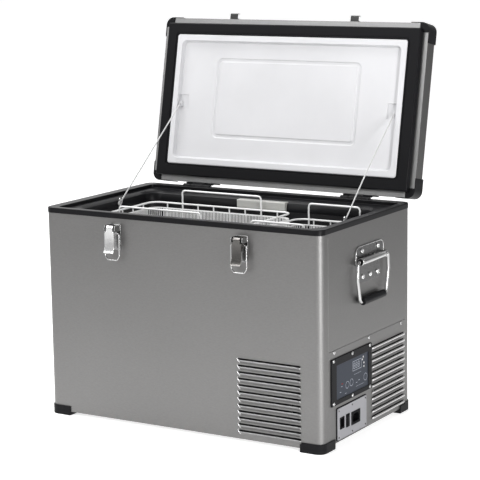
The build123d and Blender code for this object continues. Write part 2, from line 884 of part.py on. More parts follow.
with BuildPart() as ac_inlet:
    with BuildSketch(socket_face.offset(socket_blank_proud)):
        socket_blank(ac_place)
    extrude(amount=-socket_body_depth)
    with BuildSketch(socket_face.offset(socket_blank_proud)) as ac_mouth:
        with Locations(ac_place[:2]):
            Rectangle(*ac_mouth_size)
        chamfer(ac_mouth.vertices().group_by(Axis.Y)[-1], ac_mouth_chamfer)
    extrude(amount=-ac_cavity, mode=Mode.SUBTRACT)
    with BuildSketch(socket_face.offset(socket_blank_proud - ac_cavity)):
        with Locations(ac_place[:2]):
            with Locations(*ac_pin_places):
                Rectangle(*ac_pin[:2])
    extrude(amount=ac_pin[2])
save(ac_inlet, "ac_inlet")

rocker_frame_wall = 2.5
rocker_swing_room = 1.2
rocker_depth = 9.0
rocker_proud = 1.5
rocker_pin = 1.0
rocker_axis_x = socket_face.origin.X + rocker_proud - rocker_depth / 2
rocker_side_gap = 0.3
rocker_width = rocker_place[2] - 2 * rocker_frame_wall - 2 * rocker_side_gap
rocker_length = rocker_place[3] - 2 * rocker_frame_wall - 2 * rocker_swing_room
rocker_plane = Plane((0, cabinet_y + rocker_place[0], 0), x_dir=(1, 0, 0), z_dir=(0, -1, 0))

with BuildPart() as rocker_frame:
    with BuildSketch(socket_face.offset(socket_blank_proud)):
        socket_blank(rocker_place)
        with Locations(rocker_place[:2]):
            Rectangle(
                rocker_place[2] - 2 * rocker_frame_wall,
                rocker_place[3] - 2 * rocker_frame_wall,
                mode=Mode.SUBTRACT,
            )
    extrude(amount=-socket_body_depth)
    with BuildSketch(rocker_plane):
        with Locations((rocker_axis_x, rocker_place[1])):
            Circle(rocker_pin - pivot_clearance)
    extrude(amount=rocker_place[2] / 2 - rocker_frame_wall, both=True)
save(rocker_frame, "rocker_frame")

with BuildPart() as rocker_switch:
    with BuildSketch(rocker_plane):
        with Locations((socket_face.origin.X + rocker_proud, rocker_place[1])):
            Rectangle(rocker_depth, rocker_length, align=(Align.MAX, Align.CENTER))
        with Locations((rocker_axis_x, rocker_place[1])):
            Circle(rocker_pin, mode=Mode.SUBTRACT)
    extrude(amount=rocker_width / 2, both=True)
save(rocker_switch, "rocker_switch")

# ---------------------------------------------------------------- screws

panel_screw_radius = 3.0
panel_screw_head = 1.6
socket_screw_radius = 1.8
socket_screw_head = 1.0
socket_screw_inset = 5.0
screw_draft = 12.0
bezel_screw_insets = {"left": 7.4, "right": 10.0, "bottom": 5.4, "top": 4.2}
cover_screw_y = 2.5
cover_screw_step = 144.0
cover_screw_drop = 4.5


def screw_heads(face, places, head_radius, head_height):
    with BuildSketch(face) as heads:
        with Locations(*places):
            Circle(head_radius)
    extrude(heads.sketch, amount=head_height, taper=screw_draft)


bezel_screw_rows = (
    bezel_level - bezel_height / 2 + bezel_screw_insets["bottom"],
    bezel_level + bezel_height / 2 - bezel_screw_insets["top"],
)
bezel_screw_columns = (
    bezel_y - bezel_width / 2 + bezel_screw_insets["left"],
    bezel_y,
    bezel_y + bezel_width / 2 - bezel_screw_insets["right"],
)
bezel_screw_places = [(y, z) for y in bezel_screw_columns for z in bezel_screw_rows]
cover_screw_places = [
    (cover_screw_y + step * cover_screw_step, cover_top - cover_screw_drop) for step in (-1, 0, 1)
]

with BuildPart() as panel_screws:
    screw_heads(right_face.offset(bezel_proud), bezel_screw_places, panel_screw_radius, panel_screw_head)
    screw_heads(right_face, cover_screw_places, panel_screw_radius, panel_screw_head)
save(panel_screws, "panel_screws")

socket_screw_places = [
    (
        socket_y + across * (socket_width / 2 - socket_screw_inset),
        socket_level + up * (socket_height / 2 - socket_screw_inset),
    )
    for across in (-1, 0, 1)
    for up in (-1, 1)
]

with BuildPart() as socket_screws:
    screw_heads(socket_face, socket_screw_places, socket_screw_radius, socket_screw_head)
save(socket_screws, "socket_screws")

# ---------------------------------------------------------------- chest handles

upper_screw_level = handle_axis_level + 18.0
lower_screw_level = handle_axis_level - 33.0
plate_top = handle_axis_level + 28.0
plate_bottom_edge = handle_axis_level - 45.0
plate_wide = 118.0
plate_low = 85.0
plate_corner = 18.0
plate_low_corner = 4.0
plate_edge = 0.8


def handle_axis(face, across, level):
    """Plane across a rod that runs along the face at the handle's distance from it."""
    start = face.from_local_coords((across, level, handle_axis_out))
    return Plane(start, x_dir=face.z_dir, z_dir=face.x_dir)


with BuildPart() as handle_plates:
    for name, side in sides:
        face = side_faces[name]
        centre = side * handle_y
        with BuildSketch(face):
            with Locations((centre, plate_top)):
                RectangleRounded(
                    plate_wide,
                    plate_top - handle_axis_level + 2 * handle_barrel,
                    plate_corner,
                    align=(Align.CENTER, Align.MAX),
                )
            with Locations((centre, handle_axis_level + handle_barrel)):
                Rectangle(plate_wide, 2 * handle_barrel, align=(Align.CENTER, Align.MAX))
            with Locations((centre, plate_bottom_edge)):
                RectangleRounded(
                    plate_low,
                    handle_axis_level - plate_bottom_edge,
                    plate_low_corner,
                    align=(Align.CENTER, Align.MIN),
                )
        extrude(amount=handle_plate_sheet)
        chamfer(handle_plates.faces().sort_by(Axis.X)[-1 if side > 0 else 0].edges(), plate_edge)
        with BuildSketch(face.offset(handle_plate_sheet)):
            with Locations((centre, handle_axis_level)):
                Rectangle(handle_barrel_length, handle_barrel)
        extrude(amount=handle_axis_out - handle_plate_sheet)
        barrel_start = handle_axis(face, centre - handle_barrel_length / 2, handle_axis_level)
        with BuildSketch(barrel_start):
            Circle(handle_barrel)
        extrude(amount=handle_barrel_length)
        with BuildSketch(barrel_start):
            Circle(handle_rod + pivot_clearance)
        extrude(amount=handle_barrel_length, mode=Mode.SUBTRACT)
save(handle_plates, "handle_plates")

for name, side in sides:
    face = side_faces[name]
    centre = side * handle_y
    with BuildPart() as handle_bail:
        with BuildLine(face.offset(handle_axis_out)) as bail_path:
            FilletPolyline(
                (centre - handle_rod_gap, handle_axis_level),
                (centre - handle_leg, handle_axis_level),
                (centre - handle_bulge, handle_axis_level - handle_bulge_drop),
                (centre - handle_foot, grip_level),
                (centre + handle_foot, grip_level),
                (centre + handle_bulge, handle_axis_level - handle_bulge_drop),
                (centre + handle_leg, handle_axis_level),
                (centre + handle_rod_gap, handle_axis_level),
                radius=[7.0, 30.0, 9.0, 9.0, 30.0, 7.0],
            )
        with BuildSketch(Plane(bail_path.line @ 0, z_dir=bail_path.line % 0)):
            Circle(handle_rod)
        sweep(path=bail_path.line)
    save(handle_bail, f"handle_bail_{name}")
    with BuildPart() as handle_grip:
        with BuildSketch(handle_axis(face, centre - grip_length / 2, grip_level)):
            Circle(grip_radius)
            Circle(handle_rod + pivot_clearance, mode=Mode.SUBTRACT)
        extrude(amount=grip_length)
        chamfer(handle_grip.edges().filter_by(GeomType.CIRCLE).group_by(SortBy.RADIUS)[-1], grip_chamfer)
    save(handle_grip, f"handle_grip_{name}")

upper_screw_steps = (-33.5, 33.5)
lower_screw_steps = (-31.5, 0.0, 31.5)

with BuildPart() as handle_screws:
    for name, side in sides:
        face = side_faces[name]
        places = [(side * handle_y + step, upper_screw_level) for step in upper_screw_steps]
        places += [(side * handle_y + step, lower_screw_level) for step in lower_screw_steps]
        screw_heads(face.offset(handle_plate_sheet), places, handle_screw_radius, handle_screw_head)
save(handle_screws, "handle_screws")

# ---------------------------------------------------------------- latches


def latch_section(across):
    """Plane across a latch: X away from the front sheet, Y up."""
    return Plane(
        front_face.from_local_coords((across, 0, 0)), x_dir=front_face.z_dir, z_dir=-front_face.x_dir
    )


latch_pivot = (latch_pivot_out, latch_pivot_level)
bail_pivot = (bail_pivot_out, bail_pivot_level)
seat_out = (lid_depth - body_depth) / 2 + keeper_reach - keeper_sheet - bail_wire
seat_level = lid_base + keeper_floor + bail_wire
bail_reach = hypot(seat_out - bail_pivot_out, seat_level - bail_pivot_level)
latch_base_corner = 2.5
bail_end_gap = 0.2

with BuildPart() as latch_bases:
    for _, side in sides:
        centre = side * latch_spread
        with BuildSketch(front_face):
            with Locations((centre, (latch_base_bottom + latch_base_top) / 2)):
                RectangleRounded(2 * latch_base_half, latch_base_length, latch_base_corner)
        extrude(amount=lever_sheet)
        for ear in (-1, 1):
            with BuildSketch(latch_section(centre + ear * (ear_inside + lever_sheet / 2))):
                with Locations((0, latch_pivot_level)):
                    Rectangle(latch_pivot_out, 2 * ear_radius, align=(Align.MIN, Align.CENTER))
                with Locations(latch_pivot):
                    Circle(ear_radius)
            extrude(amount=lever_sheet / 2, both=True)
        with BuildSketch(latch_section(centre)):
            with Locations(latch_pivot):
                Circle(latch_pin)
        extrude(amount=ear_inside, both=True)
save(latch_bases, "latch_bases")

for name, side in sides:
    centre = side * latch_spread
    section = latch_section(centre)
    with BuildPart() as latch_lever:
        with BuildSketch(section):
            with Locations(latch_pivot):
                Circle(lever_barrel)
            with Locations((latch_pivot_out + lever_barrel, latch_pivot_level)):
                Rectangle(lever_sheet, lever_shoulder, align=(Align.MAX, Align.MAX))
        extrude(amount=lever_neck_half, both=True)
        with BuildSketch(section):
            with Locations((latch_pivot_out + lever_barrel, latch_pivot_level - lever_shoulder)):
                Rectangle(lever_sheet, lever_lip_top_drop - lever_shoulder, align=(Align.MAX, Align.MAX))
        extrude(amount=lever_half_width, both=True)
        with BuildSketch(section):
            with BuildLine():
                Polyline(
                    (latch_pivot_out + lever_barrel, latch_pivot_level - lever_lip_top_drop),
                    (latch_pivot_out + lever_barrel + lever_flare, lever_bottom),
                    (latch_pivot_out + lever_barrel + lever_flare - lever_sheet, lever_bottom),
                    (
                        latch_pivot_out + lever_barrel - lever_sheet,
                        latch_pivot_level - lever_lip_top_drop,
                    ),
                    close=True,
                )
            make_face()
        extrude(amount=lever_half_width + lever_lip_lap, both=True)
        for cheek in (-1, 1):
            with BuildSketch(latch_section(centre + cheek * (lever_half_width - lever_sheet / 2))):
                with BuildLine():
                    Polyline(
                        (latch_pivot_out + lever_barrel, latch_pivot_level - lever_shoulder),
                        (bail_pivot_out - cheek_inset, bail_pivot_level + cheek_half),
                        (bail_pivot_out - cheek_inset, bail_pivot_level - cheek_half),
                        (latch_pivot_out + lever_barrel, bail_pivot_level - cheek_drop),
                        close=True,
                    )
                make_face()
                with Locations(bail_pivot):
                    Circle(bail_wire + pivot_clearance, mode=Mode.SUBTRACT)
            extrude(amount=lever_sheet / 2, both=True)
        with BuildSketch(section):
            with Locations(latch_pivot):
                Circle(latch_pin + pivot_clearance)
        extrude(amount=lever_half_width, both=True, mode=Mode.SUBTRACT)
    save(latch_lever, f"latch_lever_{name}")
    with BuildPart() as latch_bail:
        with BuildLine(front_face.offset(bail_pivot_out)) as bail_path:
            FilletPolyline(
                (centre - lever_half_width + lever_sheet + bail_end_gap, bail_pivot_level),
                (centre - bail_half_width, bail_pivot_level),
                (centre - bail_half_width, bail_pivot_level - bail_reach + bail_corner),
                (centre - bail_flat_half, bail_pivot_level - bail_reach),
                (centre + bail_flat_half, bail_pivot_level - bail_reach),
                (centre + bail_half_width, bail_pivot_level - bail_reach + bail_corner),
                (centre + bail_half_width, bail_pivot_level),
                (centre + lever_half_width - lever_sheet - bail_end_gap, bail_pivot_level),
                radius=[2.0, 4.0, 4.0, 4.0, 4.0, 2.0],
            )
        with BuildSketch(Plane(bail_path.line @ 0, z_dir=bail_path.line % 0)):
            Circle(bail_wire)
        sweep(path=bail_path.line)
    save(latch_bail, f"latch_bail_{name}")

# Latch edge of the lid: X across, Y towards the top skin, Z out of the edge.
lid_front = Plane(
    lid_plane.from_local_coords((0, -lid_depth, 0)), x_dir=lid_plane.x_dir, z_dir=-lid_plane.y_dir
)

with BuildPart() as lid_keepers:
    for _, side in sides:
        start = lid_front.from_local_coords((side * latch_spread, 0, 0))
        keeper_floor_bottom = keeper_floor - keeper_sheet
        with BuildSketch(Plane(start, x_dir=lid_front.z_dir, z_dir=-lid_front.x_dir)):
            with BuildLine():
                FilletPolyline(
                    (0, keeper_height),
                    (0, keeper_floor_bottom),
                    (keeper_reach, keeper_floor_bottom),
                    (keeper_reach, keeper_floor + keeper_curl),
                    radius=[0.5, 2.4],
                )
                Line(
                    (keeper_reach, keeper_floor + keeper_curl),
                    (keeper_reach - keeper_sheet, keeper_floor + keeper_curl),
                )
                FilletPolyline(
                    (keeper_reach - keeper_sheet, keeper_floor + keeper_curl),
                    (keeper_reach - keeper_sheet, keeper_floor),
                    (keeper_sheet, keeper_floor),
                    (keeper_sheet, keeper_height),
                    radius=[1.2, 1.2],
                )
                Line((keeper_sheet, keeper_height), (0, keeper_height))
            make_face()
        extrude(amount=keeper_width / 2, both=True)
        with BuildSketch(lid_front.offset(keeper_sheet)):
            with Locations((side * latch_spread, keeper_height - 2 * keeper_screw_radius)):
                Circle(keeper_screw_radius)
        extrude(amount=keeper_screw_head)
save(lid_keepers, "lid_keepers")

# ---------------------------------------------------------------- hinges


def hinge_section(across, swung=False):
    """Plane across a hinge pin, lying with the cabinet or swung round the pin with the lid."""
    return Plane(
        (across, cabinet_y + hinge_y, hinge_level),
        x_dir=lid_plane.y_dir if swung else (0, 1, 0),
        z_dir=(1, 0, 0),
    )


end_knuckle = (hinge_width - lid_knuckle) / 2 - knuckle_gap
leaf_end = closed_up + lid_thickness - hinge_leaf_inset
web_inner = (closed_back + hinge_web_inner[0], knuckle_radius + hinge_web_inner[1])
web_outer = (closed_back + hinge_web_outer[0], knuckle_radius + hinge_web_outer[1])

with BuildPart() as hinge_cabinet_leaves:
    for _, side in sides:
        centre = side * hinge_spread
        for start in (centre - hinge_width / 2, centre + hinge_width / 2 - end_knuckle):
            with BuildSketch(hinge_section(start)):
                Circle(knuckle_radius)
                Rectangle(leaf_sheet, 2 * knuckle_radius, align=(Align.MIN, Align.MAX))
                Circle(hinge_pin_radius + pivot_clearance, mode=Mode.SUBTRACT)
            extrude(amount=end_knuckle)
        with BuildSketch(hinge_section(centre - hinge_width / 2)):
            with Locations((0, -knuckle_radius - knuckle_gap - hinge_web_inner[0])):
                Rectangle(leaf_sheet, hinge_leaf_drop, align=(Align.MIN, Align.MAX))
        extrude(amount=hinge_width)
save(hinge_cabinet_leaves, "hinge_cabinet_leaves")

with BuildPart() as hinge_lid_leaves:
    for _, side in sides:
        centre = side * hinge_spread
        with BuildSketch(hinge_section(centre - hinge_width / 2, swung=True)):
            with BuildLine():
                Polyline(
                    (closed_back, leaf_end),
                    (closed_back, closed_up),
                    web_inner,
                    web_outer,
                    (closed_back + leaf_sheet, closed_up + hinge_web_inner[0]),
                    (closed_back + leaf_sheet, leaf_end),
                    close=True,
                )
            make_face()
        extrude(amount=hinge_width)
        with BuildSketch(hinge_section(centre - lid_knuckle / 2, swung=True)):
            with BuildLine():
                Polyline(
                    web_inner,
                    web_outer,
                    (0, knuckle_radius),
                    (-knuckle_radius, 0),
                    close=True,
                )
            make_face()
            Circle(knuckle_radius)
            Circle(hinge_pin_radius + pivot_clearance, mode=Mode.SUBTRACT)
        extrude(amount=lid_knuckle)
save(hinge_lid_leaves, "hinge_lid_leaves")

with BuildPart() as hinge_pins:
    for _, side in sides:
        with BuildSketch(hinge_section(side * hinge_spread - hinge_width / 2)):
            Circle(hinge_pin_radius)
        extrude(amount=hinge_width)
save(hinge_pins, "hinge_pins")

# ---------------------------------------------------------------- lid

with BuildPart() as lid_skin:
    with BuildSketch(lid_plane.offset(trim_sheet)):
        lid_outline()
    extrude(amount=lid_thickness - trim_sheet)
    top_skin = lid_skin.faces().filter_by(lambda f: f.normal_at().dot(lid_plane.z_dir) > 0.99)
    fillet(top_skin.edges(), lid_round)
    with BuildSketch(lid_plane.offset(trim_sheet)):
        lid_outline(sheet)
    extrude(amount=lid_thickness - trim_sheet - lid_round, mode=Mode.SUBTRACT)
save(lid_skin, "lid_skin")

with BuildPart() as lid_foam:
    with BuildSketch(lid_plane.offset(trim_sheet)):
        lid_outline(sheet)
    extrude(amount=lid_thickness - trim_sheet - lid_round)
    with BuildSketch(lid_plane):
        lid_outline(trim_cover)
    extrude(amount=trim_sheet)
save(lid_foam, "lid_foam")

with BuildPart() as lid_trim:
    with BuildSketch(lid_plane):
        lid_outline()
        lid_outline(trim_cover, mode=Mode.SUBTRACT)
    extrude(amount=trim_sheet)
save(lid_trim, "lid_trim")

with BuildPart() as lid_gasket:
    with BuildSketch(lid_plane):
        lid_outline(trim_width)
    extrude(amount=-gasket_height)
    sealing_face = lid_gasket.faces().filter_by(lambda f: f.normal_at().dot(lid_plane.z_dir) < -0.99)
    fillet(sealing_face.edges(), gasket_round)
    with BuildSketch(lid_plane.offset(-gasket_height)):
        liner_outline(-gasket_groove_edge - gasket_groove, liner_corner + gasket_groove_edge)
        liner_outline(-gasket_groove_edge, liner_corner + gasket_groove_edge, mode=Mode.SUBTRACT)
    extrude(amount=gasket_groove, mode=Mode.SUBTRACT)
    with BuildSketch(lid_plane):
        liner_outline(radius=liner_corner)
    extrude(amount=-gasket_height, mode=Mode.SUBTRACT)
save(lid_gasket, "lid_gasket")

dish_floor = lid_plane.offset(dish_depth - gasket_height)
pocket_floor = dish_floor.offset(pocket_sink)


def bead_outline(inset):
    with Locations((bead_x, -bead_run)):
        RectangleRounded(bead_width - 2 * inset, bead_depth - 2 * inset, bead_corner - inset)


with BuildPart() as lid_liner:
    with BuildSketch(lid_plane):
        liner_outline(radius=liner_corner)
    extrude(amount=-gasket_height)
    outer_face = lid_liner.faces().filter_by(lambda f: f.normal_at().dot(lid_plane.z_dir) < -0.99)
    fillet(outer_face.edges(), liner_edge_round)
    with BuildSketch(lid_plane.offset(-gasket_height)):
        liner_outline(liner_border, dish_corner)
    extrude(amount=dish_depth, taper=dish_draft, mode=Mode.SUBTRACT)
    with BuildSketch(dish_floor):
        bead_outline(0)
    extrude(amount=bead_sink, taper=bead_draft, mode=Mode.SUBTRACT)
    with BuildSketch(dish_floor.offset(bead_sink)):
        bead_outline(bead_band - bead_sink * tan(radians(bead_draft)))
    extrude(amount=-bead_sink, taper=bead_draft)
    for _, side in sides:
        with BuildSketch(pocket_floor):
            with Locations((side * (pocket_inner + pocket_outer) / 2, -pocket_run)):
                Rectangle(pocket_outer - pocket_inner, pocket_length)
        extrude(amount=-pocket_sink - dish_depth, mode=Mode.SUBTRACT)
save(lid_liner, "lid_liner")

with BuildPart() as lid_corner_caps:
    with BuildSketch(lid_plane.offset(-cap_sheet)):
        lid_outline(-cap_sheet)
        with Locations((0, lid_centre)):
            with GridLocations(lid_width - cap_wrap, lid_depth - cap_wrap, 2, 2):
                Rectangle(cap_wrap + 2 * cap_sheet, cap_wrap + 2 * cap_sheet, mode=Mode.INTERSECT)
    extrude(amount=lid_thickness + 2 * cap_sheet)
    with BuildSketch(lid_plane):
        lid_outline()
    extrude(amount=lid_thickness, mode=Mode.SUBTRACT)
    with BuildSketch(lid_plane.offset(-cap_sheet)):
        with Locations((0, lid_centre)):
            Rectangle(lid_width, lid_depth - 2 * cap_square)
            Rectangle(lid_width - 2 * cap_square, lid_depth)
        lid_outline(trim_width)
    extrude(amount=cap_sheet, mode=Mode.SUBTRACT)
save(lid_corner_caps, "lid_corner_caps")

# ---------------------------------------------------------------- lid stays

with BuildPart() as stay_anchors:
    for _, side in sides:
        seat = Plane(
            (side * stay_anchor_x, cabinet_y + stay_anchor_y, 0), x_dir=(0, side, 0), z_dir=(side, 0, 0)
        )
        with BuildSketch(seat):
            with Locations((0, stay_anchor_level - anchor_length / 2)):
                SlotOverall(anchor_length, anchor_width, rotation=90)
        extrude(amount=anchor_sheet)
        with BuildSketch(seat.offset(anchor_sheet)):
            with Locations((0, stay_anchor_level - anchor_length + anchor_width / 2)):
                Circle(anchor_width / 3)
        extrude(amount=cavity_width / 2 - stay_anchor_x - anchor_sheet)
save(stay_anchors, "stay_anchors")

with BuildPart() as stay_clips:
    for _, side in sides:
        with BuildSketch(pocket_floor):
            with Locations((side * stay_clip_x, -stay_clip_run)):
                RectangleRounded(stay_clip_width, stay_clip_length, stay_clip_width / 4)
        extrude(amount=gasket_height - dish_depth - pocket_sink - stay_clip_depth + stay_gap)
save(stay_clips, "stay_clips")

for name, side in sides:
    lower_end = Vector(
        side * (stay_anchor_x + anchor_sheet / 2), cabinet_y + stay_anchor_y, stay_anchor_level + stay_gap
    )
    upper_end = lid_plane.from_local_coords((side * stay_clip_x, -stay_clip_run, -stay_clip_depth))
    run = upper_end - lower_end
    with BuildPart() as lid_stay:
        with BuildSketch(Plane(lower_end, z_dir=run)):
            Circle(stay_wire)
        extrude(amount=run.length)
    save(lid_stay, f"lid_stay_{name}")

# ---------------------------------------------------------------- baskets


def ring(width, depth, radius, wire, level):
    """Closed wire loop whose corners are rounded: a flat ring with bevelled edges."""
    with BuildSketch(level) as loop:
        RectangleRounded(width + 2 * wire, depth + 2 * wire, radius + wire)
        RectangleRounded(width - 2 * wire, depth - 2 * wire, radius - wire, mode=Mode.SUBTRACT)
    extrude(loop.sketch, amount=wire, both=True)


def bars(plane, places, wire, length):
    with BuildSketch(plane) as sections:
        with Locations(*places):
            RegularPolygon(wire, wire_sides)
    extrude(sections.sketch, amount=length)


def basket(name, left, right, back, rim_level, bottom, radius, handle_left, handle_right, handle_rise):
    front = cavity_front + basket_front_gap
    width = right - left
    depth = back - front
    middle = Plane(((left + right) / 2, cabinet_y + (front + back) / 2, 0))
    columns = int((width - 2 * radius) / wire_pitch) + 1
    rows = int((depth - 2 * radius) / wire_pitch) + 1
    across = [(column - (columns - 1) / 2) * wire_pitch for column in range(columns)]
    along = [(row - (rows - 1) / 2) * wire_pitch for row in range(rows)]
    low = bottom + basket_rest + wire_radius
    with BuildPart() as frame:
        ring(width, depth, radius, wire_radius, middle.offset(rim_level))
        ring(width, depth, radius, thin_wire, middle.offset(rim_level - second_ring))
        ring(width, depth, radius, wire_radius, middle.offset(low))
        uprights = [(x, side * depth / 2) for x in across for side in (-1, 1)]
        uprights += [(side * width / 2, y) for y in along for side in (-1, 1)]
        bars(middle.offset(low), uprights, thin_wire, rim_level - low)
        with BuildSketch(Plane.XZ.offset(-(cabinet_y + back))):
            with Locations(*[((left + right) / 2 + x, low) for x in across]):
                RegularPolygon(thin_wire, wire_sides)
        extrude(amount=depth)
        with BuildSketch(Plane.YZ.offset(left)):
            with Locations(*[(cabinet_y + (front + back) / 2 + y, low) for y in along]):
                RegularPolygon(thin_wire, wire_sides)
        extrude(amount=width)
        for y in (front, back):
            with BuildSketch(Plane.XZ.offset(-(cabinet_y + y))) as hoop:
                with Locations(((handle_left + handle_right) / 2, rim_level)):
                    for grow, hoop_mode in ((wire_radius, Mode.ADD), (-wire_radius, Mode.SUBTRACT)):
                        RectangleRounded(
                            handle_right - handle_left + 2 * grow,
                            2 * (handle_rise + grow),
                            hoop_corner + grow,
                            mode=hoop_mode,
                        )
                    Rectangle(
                        handle_right - handle_left + 4 * wire_radius,
                        2 * handle_rise + 4 * wire_radius,
                        align=(Align.CENTER, Align.MAX),
                        mode=Mode.SUBTRACT,
                    )
            extrude(amount=wire_radius, both=True)
    save(frame, name)


large_left = large_basket_side_gap - cavity_width / 2
large_right = hump_wall_x - large_basket_hump_gap
basket(
    "basket_large",
    large_left,
    large_right,
    cavity_back - large_basket_back_gap,
    rim_base - large_basket_drop,
    floor_level,
    large_basket_corner,
    large_left + large_hoop_inset,
    large_right - large_hoop_inset,
    large_hoop_rise,
)

small_left = hump_wall_x + small_basket_hump_gap
small_right = cavity_width / 2 - small_basket_side_gap
basket(
    "basket_small",
    small_left,
    small_right,
    cavity_back - small_basket_back_gap,
    rim_base - small_basket_drop,
    hump_level,
    small_basket_corner,
    small_left + small_hoop_inset[0],
    small_right - small_hoop_inset[1],
    small_hoop_rise,
)
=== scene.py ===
from math import cos, pi, radians, sin

import bmesh
import bpy
from mathutils import Matrix, Vector


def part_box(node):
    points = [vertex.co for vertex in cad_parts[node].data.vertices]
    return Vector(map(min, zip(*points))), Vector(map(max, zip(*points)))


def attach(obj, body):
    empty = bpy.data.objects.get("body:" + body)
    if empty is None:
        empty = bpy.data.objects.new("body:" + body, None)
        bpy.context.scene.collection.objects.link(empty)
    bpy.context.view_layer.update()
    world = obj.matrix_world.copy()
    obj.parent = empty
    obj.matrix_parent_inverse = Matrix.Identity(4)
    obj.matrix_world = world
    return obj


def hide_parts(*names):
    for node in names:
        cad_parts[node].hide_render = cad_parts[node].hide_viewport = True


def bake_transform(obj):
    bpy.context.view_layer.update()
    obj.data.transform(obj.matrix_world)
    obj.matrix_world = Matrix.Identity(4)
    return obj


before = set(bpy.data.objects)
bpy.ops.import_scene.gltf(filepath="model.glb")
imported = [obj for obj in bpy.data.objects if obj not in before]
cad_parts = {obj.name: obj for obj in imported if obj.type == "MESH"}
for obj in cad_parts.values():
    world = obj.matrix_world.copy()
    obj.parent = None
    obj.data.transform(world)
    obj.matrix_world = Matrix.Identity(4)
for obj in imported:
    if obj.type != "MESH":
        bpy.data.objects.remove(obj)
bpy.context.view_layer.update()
rimLow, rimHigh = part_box("rim_frame")
cabinetY = (rimLow.y + rimHigh.y) / 2  # every place below is measured from the middle of the cabinet

cameraAt = {
    "place": (1.88454, cabinetY - 3.06077, 1.00868),
    "yaw": 0.545168,
    "pitch": 0.178631,
    "roll": -0.014828,
    "lens": 133.978,
}


def makeCamera():
    data = bpy.data.cameras.new("camera")
    data.lens = cameraAt["lens"]
    camera = bpy.data.objects.new("camera", data)
    bpy.context.scene.collection.objects.link(camera)
    yaw, pitch, roll = cameraAt["yaw"], cameraAt["pitch"], cameraAt["roll"]
    ahead = Vector((-sin(yaw) * cos(pitch), cos(yaw) * cos(pitch), -sin(pitch)))
    level = ahead.cross(Vector((0, 0, 1))).normalized()
    upright = level.cross(ahead)
    right = level * cos(roll) + upright * sin(roll)
    up = upright * cos(roll) - level * sin(roll)
    turn = Matrix((right, up, -ahead)).transposed().to_4x4()
    camera.matrix_world = Matrix.Translation(cameraAt["place"]) @ turn
    bpy.context.scene.camera = camera


makeCamera()
print("camera made")


class Wire:  # a shader socket that can stand in sums
    def __init__(self, finish, socket):
        self.finish = finish
        self.socket = socket

    def maths(self, operation, *values):
        return self.finish.node("ShaderNodeMath", {"operation": operation}, enumerate(values))

    def __add__(self, other):
        return self.maths("ADD", self, other)

    def __sub__(self, other):
        return self.maths("SUBTRACT", self, other)

    def __rsub__(self, other):
        return self.maths("SUBTRACT", other, self)

    def __mul__(self, other):
        return self.maths("MULTIPLY", self, other)

    __radd__ = __add__
    __rmul__ = __mul__


class Finish:  # one material, or the studio's sky, and the nodes that feed its shader
    def __init__(self, name, kind="materials", shader="Principled BSDF", **fixed):
        self.material = getattr(bpy.data, kind).new(name)
        self.material.use_nodes = True
        self.tree = self.material.node_tree
        self.shader = self.tree.nodes[shader]
        for socket, value in fixed.items():
            self.shader.inputs[socket.replace("_", " ")].default_value = value

    def feed(self, socket, value):
        if isinstance(value, Wire):
            self.tree.links.new(value.socket, socket)
        else:
            socket.default_value = value

    def node(self, kind, settings=None, inputs=(), output=0):
        made = self.tree.nodes.new(kind)
        for name, value in (settings or {}).items():
            setattr(made, name, value)
        for key, value in inputs.items() if isinstance(inputs, dict) else inputs:
            self.feed(made.inputs[key], value)
        return Wire(self, made.outputs[output])

    def coords(self, stretch=(1, 1, 1)):
        place = self.node("ShaderNodeTexCoord", output="Object")
        return self.node("ShaderNodeMapping", {}, {"Vector": place, "Scale": stretch})

    def axes(self):
        split = self.node("ShaderNodeSeparateXYZ", {}, {0: self.coords()})
        outputs = split.socket.node.outputs
        return [Wire(self, outputs[axis]) for axis in range(3)]

    def noise(self, vector, scale, detail=2.0, rough=0.5):
        return self.node(
            "ShaderNodeTexNoise", {}, {"Vector": vector, "Scale": scale, "Detail": detail, "Roughness": rough}
        )

    def along(self, vector, direction):  # how far a vector reaches along a direction
        parts = {0: vector, 1: direction}
        return self.node("ShaderNodeVectorMath", {"operation": "DOT_PRODUCT"}, parts, output="Value")

    def ease(self, value, low, high):  # 0 below low, 1 above high
        parts = {"Value": value, "From Min": low, "From Max": high}
        return self.node("ShaderNodeMapRange", {"interpolation_type": "SMOOTHSTEP"}, parts)

    def mix(self, factor, first, second):
        return self.node("ShaderNodeMix", {"data_type": "RGBA"}, {0: factor, 6: first, 7: second}, output=2)

    def bump(self, height, distance):
        normal = self.node("ShaderNodeBump", {}, {"Height": height, "Distance": distance, "Strength": 1.0})
        self.feed(self.shader.inputs["Normal"], normal)

    def paint(self, colour, rough):
        self.feed(self.shader.inputs["Base Color"], colour)
        self.feed(self.shader.inputs["Roughness"], rough)


def tone(grey, warm=0.0):
    return (grey * (1 + warm), grey, grey * (1 - warm), 1)


def brushedSteel(name, grain, grey=0.235, rough=0.42):
    finish = Finish(name, Metallic=1.0)
    fine = finish.noise(finish.coords(grain), 1.0, 4.0, 0.6)
    broad = finish.noise(finish.coords((3, 3, 3)), 1.0)
    finish.paint(
        finish.mix(fine * 0.7 + broad * 0.3, tone(grey * 0.72, 0.014), tone(grey * 1.28, 0.010)),
        rough + 0.10 * fine + 0.04 * broad,
    )
    finish.bump(fine, 0.00003)
    return finish.material


def mouldedPlastic(name, colour, rough=0.42, grain=900, depth=0.00004, sheen=0.5):
    finish = Finish(name, Specular_IOR_Level=sheen)
    pebble = finish.noise(finish.coords(), grain, 2.0)
    cloud = finish.noise(finish.coords(), 9.0, 3.0)
    shade, light = [tuple(min(c * k, 1) for c in colour) + (1,) for k in (0.92, 1.06)]
    finish.paint(finish.mix(cloud, shade, light), rough - 0.06 + 0.12 * cloud)
    finish.bump(pebble, depth)
    return finish.material


